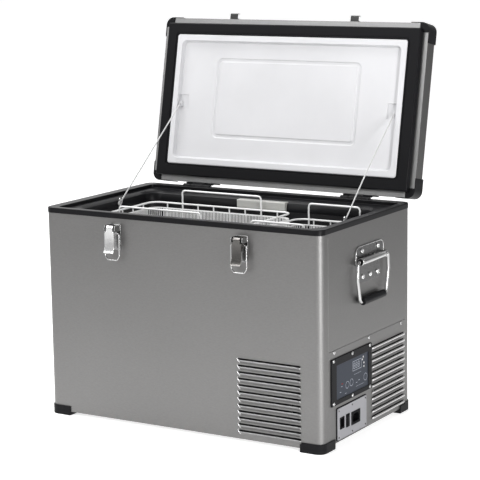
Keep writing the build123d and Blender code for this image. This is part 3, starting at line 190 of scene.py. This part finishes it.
def polishedMetal(name, grey=0.62, rough=0.16, warm=0.0):
    finish = Finish(name, Metallic=1.0)
    cloud = finish.noise(finish.coords(), 60.0, 3.0)
    scuff = finish.noise(finish.coords((40, 40, 900)), 1.0, 3.0)
    finish.paint(finish.mix(cloud, tone(grey * 0.9, warm), tone(grey, warm)), rough + 0.14 * scuff * cloud)
    finish.bump(scuff, 0.00001)
    return finish.material


def groovedAluminium(name, grey, pitch):
    finish = Finish(name, Metallic=1.0)
    across, along, up = finish.axes()
    drawn = finish.noise(finish.coords((400, 400, 60)), 1.0, 3.0)
    run = (across + up) * (2 * pi / pitch)
    ribs = run.maths("SINE", run)
    finish.paint(finish.mix(drawn, tone(grey * 0.86), tone(grey * 1.06)), 0.32 + 0.12 * drawn)
    finish.bump(ribs * 0.3 + drawn, 0.00008)
    return finish.material


steelSheet = brushedSteel("steelSheet", (160, 160, 900), 0.2)
lidSteel = brushedSteel("lidSteel", (60, 900, 900), 0.155)
aluminium = groovedAluminium("trimAluminium", 0.27, 0.004)
galvanised = polishedMetal("galvanisedSheet", 0.4, 0.38)
chrome = polishedMetal("chromePlate", 0.5, 0.13)
latchPlate = polishedMetal("latchPlate", 0.3, 0.2)
# painted shade: a dark copy of the chrome, so that the right latch lever reads darker than its twin; the socket
# screws share this darker chrome
darkChromePaintedShade = polishedMetal("darkChromePaintedShade", 0.15, 0.2, 0.04)
# painted reflection: the handle plates are painted dark, standing in for the dark surroundings that a polished
# plate reflects
plateDarkReflection = polishedMetal("handlePlate", 0.15, 0.24)
keeperSteel = polishedMetal("keeperSteel", 0.05, 0.3)
zinc = polishedMetal("zincScrews", 0.6, 0.24)
# painted highlight: the louvre lips are steel painted much brighter than the sheet, standing in for the light
# they catch from above; the front lips carry a softer painted highlight
lipHighlightSteel = polishedMetal("louvreLipHighlights", 0.8, 0.26)
softLipHighlightSteel = polishedMetal("softLouvreLipHighlights", 0.29, 0.38)
# painted highlight: a steel painted near white, used where the parts should show bright edges, glints and lit
# faces
paintedHighlightSteel = polishedMetal("paintedHighlightSteel", 0.85, 0.22)
stayCoating = mouldedPlastic("stayCoating", (0.5, 0.5, 0.5), 0.35, 400, sheen=0.3)
blackPlastic = mouldedPlastic("blackPlastic", (0.009, 0.009, 0.010), 0.42, sheen=0.07)
rimPlastic = mouldedPlastic("rimPlastic", (0.006, 0.006, 0.007), 0.34, sheen=0.12)
blackRubber = mouldedPlastic("blackRubber", (0.006, 0.006, 0.007), 0.45, 500, sheen=0.1)
sootPlastic = mouldedPlastic("sootPlastic", (0.012, 0.012, 0.013), 0.4, sheen=0.04)
inletPlastic = mouldedPlastic("inletPlastic", (0.005, 0.005, 0.006), 0.4, sheen=0.03)
whitePlastic = mouldedPlastic("whitePlastic", (0.6, 0.6, 0.615), 0.34, sheen=0.35)
tubPlastic = mouldedPlastic("tubPlastic", (0.013, 0.013, 0.014), 0.42, sheen=0.3)
whiteWire = mouldedPlastic("whiteCoating", (0.85, 0.85, 0.85), 0.3, 400)
whiteFoam = mouldedPlastic("insulationFoam", (0.72, 0.62, 0.38), 0.8, 300, 0.0004)
frosted = mouldedPlastic("frostedLens", (0.44, 0.44, 0.42), 0.3, 200, 0.0006)
boardGreen = mouldedPlastic("circuitBoard", (0.02, 0.12, 0.05), 0.35)
membraneBlue = mouldedPlastic("membraneFilm", (0.024, 0.029, 0.041), 0.3, sheen=0.08)
membraneMarks = mouldedPlastic("membraneMarks", (0.26, 0.28, 0.32), 0.4, sheen=0.1)
standbyRed = mouldedPlastic("standbyLens", (0.22, 0.03, 0.025), 0.25)
socketGrey = mouldedPlastic("socketPlate", (0.24, 0.24, 0.255), 0.36, sheen=0.3)

nodeFinish = {
    steelSheet: ("front_panel", "back_panel", "left_side_panel", "right_side_panel", "right_service_cover"),
    lidSteel: ("lid_skin",),
    aluminium: ("lid_trim", "evaporator"),
    galvanised: ("base_pan", "bulkhead", "condenser"),
    latchPlate: ("latch_bases",),
    chrome: (
        "latch_bail_left",
        "latch_bail_right",
        "handle_bail_left",
        "handle_bail_right",
        "hinge_pins",
    ),
    # painted shade: the right latch lever is painted in dark chrome
    darkChromePaintedShade: ("latch_lever_right", "socket_screws"),
    plateDarkReflection: ("handle_plates",),
    keeperSteel: ("lid_keepers",),
    zinc: ("panel_screws", "stay_anchors"),
    # painted highlight: the left latch lever is painted bright as a lit copy of the right one, and the handle
    # screw heads are painted bright too
    paintedHighlightSteel: ("latch_lever_left", "handle_screws"),
    blackPlastic: (
        "corner_feet",
        "lid_corner_caps",
        "handle_grip_left",
        "handle_grip_right",
        "hinge_cabinet_leaves",
        "hinge_lid_leaves",
        "fan_frame",
        "fan_rotor",
        "compressor",
    ),
    rimPlastic: ("rim_frame",),
    inletPlastic: ("dc_inlet", "ac_inlet", "rocker_frame", "rocker_switch"),
    sootPlastic: ("control_bezel",),
    blackRubber: ("lid_gasket", "socket_gasket", "compressor_mounts"),
    whitePlastic: ("lid_liner", "stay_clips"),
    tubPlastic: ("inner_liner",),
    whiteWire: ("basket_large", "basket_small", "lid_stay_left", "lid_stay_right"),
    whiteFoam: ("foam_insulation", "lid_foam"),
    frosted: ("interior_lamp",),
    boardGreen: ("control_board",),
    membraneBlue: ("control_membrane", "power_button", "plus_button", "minus_button"),
    socketGrey: ("socket_plate",),
}
nodeMaterial = {name: material for material, names in nodeFinish.items() for name in names}
for name, material in nodeMaterial.items():
    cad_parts[name].data.materials.clear()
    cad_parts[name].data.materials.append(material)
print("nodes dressed", len(nodeMaterial), "of", len(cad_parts))


def addPiece(name, bm, material, body, replaces=(), smooth=True):
    for face in bm.faces:
        face.smooth = smooth
    mesh = bpy.data.meshes.new(name)
    bm.to_mesh(mesh)
    bm.free()
    mesh.materials.append(material)
    piece = bpy.data.objects.new(name, mesh)
    bpy.context.scene.collection.objects.link(piece)
    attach(piece, body)
    if replaces:
        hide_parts(*replaces)
    return piece


def softened(node, body, width):  # a copy of a CAD node with rounded edges
    bm = bmesh.new()
    bm.from_mesh(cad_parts[node].data)
    bmesh.ops.remove_doubles(bm, verts=bm.verts, dist=0.00001)
    piece = addPiece(node + ".soft", bm, nodeMaterial[node], body, [node])
    bevel = piece.modifiers.new("edges", "BEVEL")
    bevel.width = width
    bevel.segments = 2
    bevel.limit_method = "ANGLE"
    bevel.angle_limit = radians(40)
    bevel.use_clamp_overlap = False
    weighted = piece.modifiers.new("flats", "WEIGHTED_NORMAL")
    weighted.keep_sharp = True
    return piece


def bendCorners(points, radius, closed=False, steps=5):  # the points of a wire bent round each corner
    count = len(points)
    line = []
    for index, corner in enumerate(points):
        corner = Vector(corner)
        if not closed and index in (0, count - 1):
            line.append(corner)
            continue
        before, after = Vector(points[index - 1]) - corner, Vector(points[(index + 1) % count]) - corner
        reach = min(radius, before.length * 0.49, after.length * 0.49)
        start, end = corner + before.normalized() * reach, corner + after.normalized() * reach
        for step in range(steps + 1):
            part = step / steps
            line.append(start * (1 - part) ** 2 + corner * 2 * part * (1 - part) + end * part**2)
    return line


def wirePiece(name, runs, material, body, sides=1):  # runs are (points, wire radius, closed)
    curve = bpy.data.curves.new(name, "CURVE")
    curve.dimensions = "3D"
    curve.bevel_depth = 1.0
    curve.bevel_resolution = sides
    curve.use_fill_caps = True
    for points, radius, closed in runs:
        spline = curve.splines.new("POLY")
        spline.points.add(len(points) - 1)
        for point, place in zip(spline.points, points):
            point.co = (*place, 1)
            point.radius = radius
        spline.use_cyclic_u = closed
        spline.use_smooth = True
    curve.materials.append(material)
    piece = bpy.data.objects.new(name, curve)
    bpy.context.scene.collection.objects.link(piece)
    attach(piece, body)
    return piece


wires = {"rim": 0.002, "upright": 0.0016, "fine": 0.0011, "pitch": 0.039, "finePitch": 0.0036, "bend": 0.008}
baskets = {
    "large": {
        "sides": (-0.257, 0.088),
        "depth": (-0.124, 0.112),
        "levels": (0.0625, 0.394, 0.406),
        "corner": 0.025,
        "hoop": (-0.182, 0.013),
        "rise": 0.029,
    },
    "small": {
        "sides": (0.103, 0.256),
        "depth": (-0.124, 0.108),
        "levels": (0.2325, 0.384, 0.396),
        "corner": 0.028,
        "hoop": (0.129, 0.247),
        "rise": 0.033,
    },
}


def spread(low, high, pitch):
    count = int((high - low) / pitch)
    first = (low + high - count * pitch) / 2
    return [first + step * pitch for step in range(count + 1)]


def basketWires(size):
    left, right = size["sides"]
    front, back = (cabinetY + y for y in size["depth"])
    floor, second, rim = size["levels"]
    corner = size["corner"]
    runs = []
    square = [(left, front), (right, front), (right, back), (left, back)]
    for level, wire in ((rim, wires["rim"]), (second, wires["upright"]), (floor, wires["rim"])):
        loop = bendCorners([(x, y, level) for x, y in square], corner, True, 8)
        runs.append((loop, wire, True))
    low = floor + wires["upright"]
    for x in spread(left + corner, right - corner, wires["pitch"]):
        hoop = [(x, front, rim), (x, front, low), (x, back, low), (x, back, rim)]
        runs.append((bendCorners(hoop, wires["bend"]), wires["upright"], False))
    for y in spread(front + corner, back - corner, wires["pitch"]):
        hoop = [(left, y, rim), (left, y, low), (right, y, low), (right, y, rim)]
        runs.append((bendCorners(hoop, wires["bend"]), wires["upright"], False))
    inset = wires["rim"]
    for x in spread(left + corner, right - corner, wires["finePitch"]):
        near, far = front + inset, back - inset
        hoop = [(x, near, second), (x, near, low), (x, far, low), (x, far, second)]
        runs.append((bendCorners(hoop, wires["bend"], False, 3), wires["fine"], False))
    for y in spread(front + corner, back - corner, wires["finePitch"]):
        for x in (left + inset, right - inset):
            runs.append(([Vector((x, y, second)), Vector((x, y, floor))], wires["fine"], False))
    for x, y, turn in ((right, back, 0), (left, back, 1), (left, front, 2), (right, front, 3)):
        for step in range(1, 8):
            angle = (turn + step / 8) * pi / 2
            reach = corner - inset
            centre = Vector((x + (corner if x == left else -corner), y + (corner if y == front else -corner), 0))
            place = centre + Vector((cos(angle), sin(angle), 0)) * reach
            runs.append(([place + Vector((0, 0, second)), place + Vector((0, 0, floor))], wires["fine"], False))
    for y in (front, back):
        start, end = size["hoop"]
        top = rim + size["rise"]
        hoop = [(start, y, second), (start, y, top), (end, y, top), (end, y, second)]
        runs.append((bendCorners(hoop, wires["bend"]), wires["rim"], False))
    return runs


for name, size in baskets.items():
    piece = wirePiece("basketWires." + name, basketWires(size), whiteWire, name + "_basket")
    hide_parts("basket_" + name)
print("baskets bent")

stay = {
    "wire": 0.0014,
    "eye": (0.0036, 0.0062),
    "eyeSides": 16,
    "eyeWire": 1.3,  # times the wire
    "anchor": (0.003, 0.4190),
    "bow": 0.004,
    "steps": 40,
    "inset": 0.001,
    "half": 0.0007,
}


def lidStay(side, name, bow):
    node = "lid_stay_" + name
    low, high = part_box(node)
    outer = max(abs(low.x), abs(high.x)) - stay["inset"]
    inner = min(abs(low.x), abs(high.x)) + stay["inset"]
    half = stay["half"]
    end = Vector((side * inner, high.y - half, high.z - half))
    eye = Vector((side * outer, cabinetY + stay["anchor"][0], stay["anchor"][1]))
    rise = (end - eye).normalized()
    sideways = rise.cross(Vector((side, 0, 0))).normalized()
    wide, tall = stay["eye"]
    top = eye + rise * tall
    line = [top.lerp(end, step / stay["steps"]) for step in range(stay["steps"] + 1)]
    for step, point in enumerate(line):
        part = step / stay["steps"]
        point += Vector((-side * bow, 0, -bow)) * (4 * part * (1 - part))
    ring = [
        eye + sideways * (sin(angle) * wide) + rise * (cos(angle) * tall)
        for angle in [2 * pi * step / stay["eyeSides"] for step in range(stay["eyeSides"])]
    ]
    runs = [(line, stay["wire"], False), (ring, stay["wire"] * stay["eyeWire"], True)]
    piece = wirePiece("stayWire." + name, runs, stayCoating, "cabinet", 2)
    bpy.context.view_layer.update()
    mesh = bpy.data.meshes.new_from_object(piece.evaluated_get(bpy.context.evaluated_depsgraph_get()))
    bpy.data.objects.remove(piece)
    wire = bpy.data.objects.new("stayWire." + name, mesh)
    bpy.context.scene.collection.objects.link(wire)
    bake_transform(wire)
    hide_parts(node)


lidStay(-1, "left", 0.0)
lidStay(1, "right", stay["bow"])
print("lid stays hung")

screws = {
    "panel_screws": {"radius": 0.0036, "height": 0.002},
    "socket_screws": {"radius": 0.0018, "height": 0.001},
    "handle_screws": {"radius": 0.0052, "height": 0.0034},
}
screwShape = {  # all as shares of a head's radius, and heights as shares of its height
    "profile": [(0.0, 0.0), (1.0, 0.0), (1.0, 0.25), (0.86, 0.66), (0.6, 0.9), (0.28, 1.0), (0.0, 1.0)],
    "sides": 16,
    "slotReach": 0.5,
    "slotMiddle": 0.25,
    "slotHalf": 0.12,
    "slotDepth": 0.45,
}


def inSlot(face, radius):  # whether a face lies in the cross that the screwdriver fits
    middle = face.calc_center_median()
    reach = middle.xy.length
    narrow = min(abs(middle.x), abs(middle.y)) < radius * screwShape["slotHalf"]
    return reach < radius * screwShape["slotReach"] and (reach < radius * screwShape["slotMiddle"] or narrow)


def screwHead(bm, place, outward, radius, height):
    others = set(bm.verts)
    start = [bm.verts.new((x * radius, 0, z * height)) for x, z in screwShape["profile"]]
    edges = [bm.edges.new(pair) for pair in zip(start, start[1:])]
    bmesh.ops.spin(
        bm,
        geom=start + edges,
        cent=(0, 0, 0),
        axis=(0, 0, 1),
        angle=2 * pi,
        steps=screwShape["sides"],
        use_merge=True,
    )
    head = [vert for vert in bm.verts if vert not in others]
    bmesh.ops.remove_doubles(bm, verts=head, dist=radius * 0.001)
    head = [vert for vert in head if vert.is_valid]
    faces = {face for vert in head for face in vert.link_faces}
    bmesh.ops.recalc_face_normals(bm, faces=list(faces))
    slot = [face for face in faces if inSlot(face, radius)]
    sunk = bmesh.ops.extrude_face_region(bm, geom=slot)
    lowered = [item for item in sunk["geom"] if isinstance(item, bmesh.types.BMVert)]
    bmesh.ops.delete(bm, geom=slot, context="FACES_ONLY")
    bmesh.ops.translate(bm, vec=(0, 0, -height * screwShape["slotDepth"]), verts=lowered)
    head = [vert for vert in head + lowered if vert.is_valid]
    turn = Vector(outward).to_track_quat("Z", "X").to_matrix().to_4x4()
    bmesh.ops.transform(bm, matrix=Matrix.Translation(place) @ turn, verts=head)


def islands(node):  # the box of each separate solid of a CAD node, in order
    bm = bmesh.new()
    bm.from_mesh(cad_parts[node].data)
    bmesh.ops.remove_doubles(bm, verts=bm.verts, dist=0.00001)
    left = set(bm.verts)
    boxes = []
    while left:
        stack = [left.pop()]
        group = []
        while stack:
            vert = stack.pop()
            group.append(vert.co.copy())
            near = [edge.other_vert(vert) for edge in vert.link_edges]
            stack += [other for other in near if other in left]
            left -= set(near)
        low = Vector([min(co[axis] for co in group) for axis in range(3)])
        high = Vector([max(co[axis] for co in group) for axis in range(3)])
        boxes.append((low, high))
    bm.free()
    return sorted(boxes, key=lambda box: tuple(box[0]))


for node, size in screws.items():
    bm = bmesh.new()
    for low, high in islands(node):
        middle = (low + high) / 2
        side = 1 if middle.x > 0 else -1
        foot = low.x if side > 0 else high.x
        screwHead(bm, (foot, middle.y, middle.z), (side, 0, 0), size["radius"], size["height"])
    addPiece(node + ".heads", bm, nodeMaterial[node], "cabinet", [node])
print("screws driven")

softNodes = {
    "cabinet": {
        "front_panel": 0.0004,
        "back_panel": 0.0003,
        "left_side_panel": 0.0003,
        "right_side_panel": 0.0003,
        "right_service_cover": 0.0004,
        "rim_frame": 0.0006,
        "corner_feet": 0.0006,
        "handle_plates": 0.0004,
        "latch_bases": 0.0004,
        "control_bezel": 0.0006,
        "hinge_cabinet_leaves": 0.0006,
        "socket_plate": 0.0003,
        "interior_lamp": 0.0005,
    },
    "lid": {
        "lid_corner_caps": 0.0005,
        "lid_gasket": 0.0004,
        "lid_liner": 0.0006,
        "lid_keepers": 0.0003,
        "hinge_lid_leaves": 0.0006,
        "lid_trim": 0.0003,
    },
    "left_latch_lever": {"latch_lever_left": 0.0004},
    "right_latch_lever": {"latch_lever_right": 0.0004},
}
soft = {
    node: softened(node, body, width) for body, nodes in softNodes.items() for node, width in nodes.items()
}

rimStep = {
    "front": -0.167,
    "right": 0.297,
    "corner": 0.0085,
    "depth": 0.0075,
    "slack": 0.0005,
    "forward": 0.011,
    "outward": 0.009,
}


def narrowRim(mesh):  # the flat top of the rim is narrower along the front and the right
    bm = bmesh.new()
    bm.from_mesh(mesh)
    step = [vert for vert in bm.verts if vert.co.z > rimHigh.z - rimStep["depth"]]
    front = cabinetY + rimStep["front"]
    right, slack = rimStep["right"], rimStep["slack"]
    ahead, beside = [], []
    for vert in step:
        x, y = vert.co.xy
        if -slack < y - front < rimStep["corner"] and abs(x) < right + 2 * slack:
            ahead.append(vert)
        if -slack < right - x < rimStep["corner"] and y > front - 2 * slack:
            beside.append(vert)
    bmesh.ops.translate(bm, vec=(0, -rimStep["forward"], 0), verts=ahead)
    bmesh.ops.translate(bm, vec=(rimStep["outward"], 0, 0), verts=beside)
    bm.to_mesh(mesh)
    bm.free()


narrowRim(soft["rim_frame"].data)
print("edges rounded")

handlePlate = {
    "centre": 0.0045,
    "face": 0.3218,
    "half": 0.0586,
    "top": 0.3786,
    "low": 0.346,
    "corner": 0.018,
    "wire": 0.0008,
}
barrel = {
    "level": 0.351,
    "face": 0.329,
    "radius": 0.0071,
    "length": 0.1084,
    "edge": 0.0008,
    "collar": 0.007,
    "swell": 0.0075,
}


def plateEdgeHighlights():  # a painted highlight: a bright wire round the top of each handle plate
    runs = []
    for side in (-1, 1):
        line = [
            (side * handlePlate["face"], cabinetY + handlePlate["centre"] + across, level)
            for across, level in (
                (-handlePlate["half"], handlePlate["low"]),
                (-handlePlate["half"], handlePlate["top"]),
                (handlePlate["half"], handlePlate["top"]),
                (handlePlate["half"], handlePlate["low"]),
            )
        ]
        runs.append((bendCorners(line, handlePlate["corner"], False, 8), handlePlate["wire"], False))
    wirePiece("handlePlateHighlights", runs, paintedHighlightSteel, "cabinet", 2)


def plateBarrels():  # the curled barrel of each plate and a collar at both of its ends
    bm = bmesh.new()
    length, collar = barrel["length"], barrel["collar"]
    rolls = [(0, barrel["radius"], length)]
    rolls += [(end * (length - collar) / 2, barrel["swell"], collar) for end in (-1, 1)]
    for side in (-1, 1):
        for along, radius, size in rolls:
            made = bmesh.ops.create_cone(
                bm, cap_ends=True, segments=32, radius1=radius, radius2=radius, depth=size
            )["verts"]
            rims = {
                edge for vert in made for edge in vert.link_edges if edge.other_vert(vert).co.z * vert.co.z > 0
            }
            centre = (side * barrel["face"], cabinetY + handlePlate["centre"] + along, barrel["level"])
            place = Matrix.Translation(centre) @ Matrix.Rotation(pi / 2, 4, "X")
            bmesh.ops.transform(bm, matrix=place, verts=made)
            bmesh.ops.bevel(
                bm,
                geom=list(rims),
                offset=barrel["edge"],
                affect="EDGES",
                segments=2,
                profile=0.5,
                material=-1,
            )
    addPiece("handleBarrels", bm, chrome, "cabinet")


plateEdgeHighlights()
plateBarrels()
print("handle plates edged and curled")

louvres = {
    "count": 12,
    "pitch": 0.013,
    "top": 0.1656,
    "proud": 0.0030,
    "slant": 0.005,
    "corner": 0.004,
    "tuck": 0.0012,  # how far inside the slot and below the lip its ends are
    "sunk": 0.0002,
    "front": 0.190,
    "side": 0.320,
}
banks = {
    "front_panel": ("x", 0.204, 0.140, 0.0017, 0.0002, softLipHighlightSteel),
    "right_service_cover": ("y", 0.0875, 0.145, 0.0021, 0.0008, lipHighlightSteel),
}  # the way a bank runs, its middle, its width, the lip's radius, how far it is raised and its finish, which is a painted highlight
louvreTip = {
    "line": ((-0.0004, 0.0008, 0.0036), (0.0028, 0.0032, 0.0010), (0.0078, 0.0038, -0.0030)),
    "corner": 0.003,
    "wire": 0.0014,
}


# a rolled bead along each louvre lip, in a finish painted bright as a highlight
def louvreEdges(node, along, middle, width, bead, raised, material):
    runs = []
    end, fold = width / 2 - louvres["tuck"], width / 2 - louvres["slant"]
    profile = [
        (-end, -louvres["tuck"], louvres["sunk"]),
        (-fold, 0, louvres["proud"]),
        (fold, 0, louvres["proud"]),
        (end, -louvres["tuck"], louvres["sunk"]),
    ]
    for row in range(louvres["count"]):
        level = louvres["top"] + raised - row * louvres["pitch"]
        if along == "x":
            face = cabinetY - louvres["front"]
            line = [(middle + run, face - out, level + up) for run, up, out in profile]
        else:
            line = [(louvres["side"] + out, cabinetY + middle + run, level + up) for run, up, out in profile]
        runs.append((bendCorners(line, louvres["corner"]), bead, False))
    wirePiece(node + ".lips", runs, material, "cabinet", 2)


def louvreTipHighlights(middle, width):  # a painted highlight at the left end of each front louvre, where the sheet is drawn outwards
    runs = []
    for row in range(louvres["count"]):
        level = louvres["top"] - row * louvres["pitch"]
        left, face = middle - width / 2, cabinetY - louvres["front"]
        tip = [(left + run, face - out, level + up) for run, out, up in louvreTip["line"]]
        runs.append((bendCorners(tip, louvreTip["corner"]), louvreTip["wire"], False))
    wirePiece("front_panel.tipHighlights", runs, paintedHighlightSteel, "cabinet", 2)


for node, bank in banks.items():
    louvreEdges(node, *bank)
louvreTipHighlights(*banks["front_panel"][1:3])
print("louvre lips rolled")

panel = {
    "face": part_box("control_membrane")[1].x,
    "lift": 0.00008,
    "display": (-0.0500, 0.1473, 0.0360, 0.0185),
    "line": 0.0011,
    "digit": (0.0070, 0.0125, 0.0016),
    "digits": (-0.0620, -0.0525, -0.0430),
    "gap": 0.4,  # between the bars of a digit, and how thick they are, as shares of the stroke
    "bar": 0.8,
    "rings": ((-0.0145, 0.1152, 0.0075), (-0.0735, 0.1170, 0.0073), (-0.0910, 0.1162, 0.0073)),
    "ringSides": 28,
    "lamps": ((-0.0240, 0.1574), (-0.0275, 0.1526), (-0.0210, 0.1452), (-0.0210, 0.1380)),
    "lamp": (0.0019, 0.0018),
    "dashes": (
        (-0.1140, 0.1180),
        (-0.1190, 0.1075),
        (-0.0520, 0.1120),
        (-0.0420, 0.1150),
        (-0.0980, 0.1010),
    ),
    "dash": (0.0055, 0.0012),
    "rules": ((-0.0480, 0.1300, 0.0300, 0.0006), (-0.0380, 0.1045, 0.0340, 0.0006)),
    "standby": (-0.1120, 0.1230, 0.0060, 0.0018),
}
segments = {  # the middle of each bar of a digit, and whether it lies flat or stands
    "top": (0, 1, 1, 0),
    "middle": (0, 0, 1, 0),
    "bottom": (0, -1, 1, 0),
    "upperLeft": (-1, 0.5, 0, 1),
    "upperRight": (1, 0.5, 0, 1),
    "lowerLeft": (-1, -0.5, 0, 1),
    "lowerRight": (1, -0.5, 0, 1),
}


def panelBar(bm, across, level, width, height):
    made = bmesh.ops.create_cube(bm, size=1.0)
    place = Matrix.Translation((panel["face"], cabinetY + across, level))
    size = Matrix.Diagonal((2 * panel["lift"], width, height, 1))
    bmesh.ops.transform(bm, matrix=place @ size, verts=made["verts"])


def panelRing(bm, across, level, radius, line):
    loops = [
        bmesh.ops.create_circle(bm, cap_ends=False, segments=panel["ringSides"], radius=reach)["verts"]
        for reach in (radius, radius - line)
    ]
    edges = {edge for loop in loops for vert in loop for edge in vert.link_edges}
    ring = bmesh.ops.bridge_loops(bm, edges=list(edges))["faces"]
    bm.normal_update()
    bmesh.ops.reverse_faces(bm, faces=[face for face in ring if face.normal.z < 0])
    place = Matrix.Translation((panel["face"] + panel["lift"], cabinetY + across, level))
    turn = Matrix.Rotation(pi / 2, 4, "Y")
    bmesh.ops.transform(bm, matrix=place @ turn, verts=loops[0] + loops[1])


def panelPrint():
    bm = bmesh.new()
    across, level, width, height = panel["display"]
    line = panel["line"]
    for side in (-1, 1):
        panelBar(bm, across + side * width / 2, level, line, height + line)
        panelBar(bm, across, level + side * height / 2, width + line, line)
    wide, tall, stroke = panel["digit"]
    for middle in panel["digits"]:
        for x, z, flat, upright in segments.values():
            reach = (wide - stroke) / 2
            half = (tall - stroke) / 2
            gap, bar = stroke * panel["gap"], stroke * panel["bar"]
            barWidth = (wide - stroke - gap) * flat + bar * upright
            barHeight = (half - gap) * upright + bar * flat
            panelBar(bm, middle + x * reach, level + z * half, barWidth, barHeight)
    for place in panel["rings"]:
        panelRing(bm, *place, line)
    for place in panel["dashes"]:
        panelBar(bm, *place, *panel["dash"])
    for rule in panel["rules"]:
        panelBar(bm, *rule)
    addPiece("panelPrint", bm, membraneMarks, "cabinet", smooth=False)
    bm = bmesh.new()
    for place in panel["lamps"]:
        panelRing(bm, *place, *panel["lamp"])
    addPiece("panelLamps", bm, zinc, "cabinet", smooth=False)
    bm = bmesh.new()
    panelBar(bm, *panel["standby"])
    addPiece("standbyLamp", bm, standbyRed, "cabinet", smooth=False)


panelPrint()
print("panel printed")

studio = {
    "ahead": (-sin(cameraAt["yaw"]), cos(cameraAt["yaw"]), 0),
    "across": (cos(cameraAt["yaw"]), sin(cameraAt["yaw"]), 0),
    "front": 0.42,
    "backdrop": 1.05,
    "tilt": 0.12,  # the left of the sky is brighter than the right
    "lobe": (0.7, 0.94),
    "floor": 0.82,
    "floorSize": 30,
    "floorRough": 0.9,
    "glow": 0.62,
    "glowFrom": (-1.7, -0.7),
    "sweep": (0.7, 1.6),
    "widening": 0.22,
}
softBoxes = {
    "keyBox": {"place": (-1.6, -3.4, 3.4), "aim": (0, 0, 0.4), "size": (2.2, 2.2), "power": 95},
    "topBox": {"place": (-1.5, 0.1, 2.9), "aim": (0, 0, 0.2), "size": (1.6, 2.2), "power": 90},
    "edgeStrip": {"place": (2.3, -1.4, 0.3), "aim": (0.3, -0.2, 0.2), "size": (0.35, 1.8), "power": 70},
}


def makeStudio():
    bm = bmesh.new()
    bmesh.ops.create_grid(bm, x_segments=1, y_segments=1, size=studio["floorSize"])
    mesh = bpy.data.meshes.new("floor")
    bm.to_mesh(mesh)
    bm.free()
    floor = bpy.data.objects.new("floor", mesh)
    bpy.context.scene.collection.objects.link(floor)
    paint = Finish("floorPaint", Roughness=studio["floorRough"], Base_Color=tone(studio["floor"]))
    place = paint.coords()
    depth = paint.along(place, studio["ahead"])
    side = paint.along(place, studio["across"])
    beside = side.maths("ABSOLUTE", side) - studio["widening"] * depth  # the painted glow on the floor widens to the back
    # painted light: the floor's emission paints a pool of light round the cabinet, so the floor glows there
    # though it is no lamp
    glow = paint.ease(depth, *studio["glowFrom"]) * (1 - paint.ease(beside, *studio["sweep"]))
    paint.feed(paint.shader.inputs["Emission Color"], paint.mix(glow, tone(0), tone(studio["glow"])))
    paint.feed(paint.shader.inputs["Emission Strength"], 1.0)
    mesh.materials.append(paint.material)
    sky = Finish("studio", "worlds", "Background")
    bpy.context.scene.world = sky.material
    direction = sky.node("ShaderNodeTexCoord", output="Generated")
    lobe = sky.ease(sky.along(direction, studio["ahead"]), *studio["lobe"])
    sideways = sky.along(direction, (1, 0, 0))
    rise = studio["backdrop"] - studio["front"]
    level = studio["front"] - studio["tilt"] * sideways + lobe * rise
    sky.feed(sky.shader.inputs["Color"], tone(1.0))
    sky.feed(sky.shader.inputs["Strength"], level)
    bpy.context.scene.view_settings.view_transform = "Standard"


def softBox(name, place, aim, size, power):
    data = bpy.data.lights.new(name, "AREA")
    data.shape = "RECTANGLE"
    data.size, data.size_y = size
    data.energy = power
    light = bpy.data.objects.new(name, data)
    bpy.context.scene.collection.objects.link(light)
    light.location = place
    light.rotation_euler = (Vector(aim) - Vector(place)).to_track_quat("-Z", "Y").to_euler()


makeStudio()
for name, box in softBoxes.items():
    softBox(name, **box)
print("studio made")
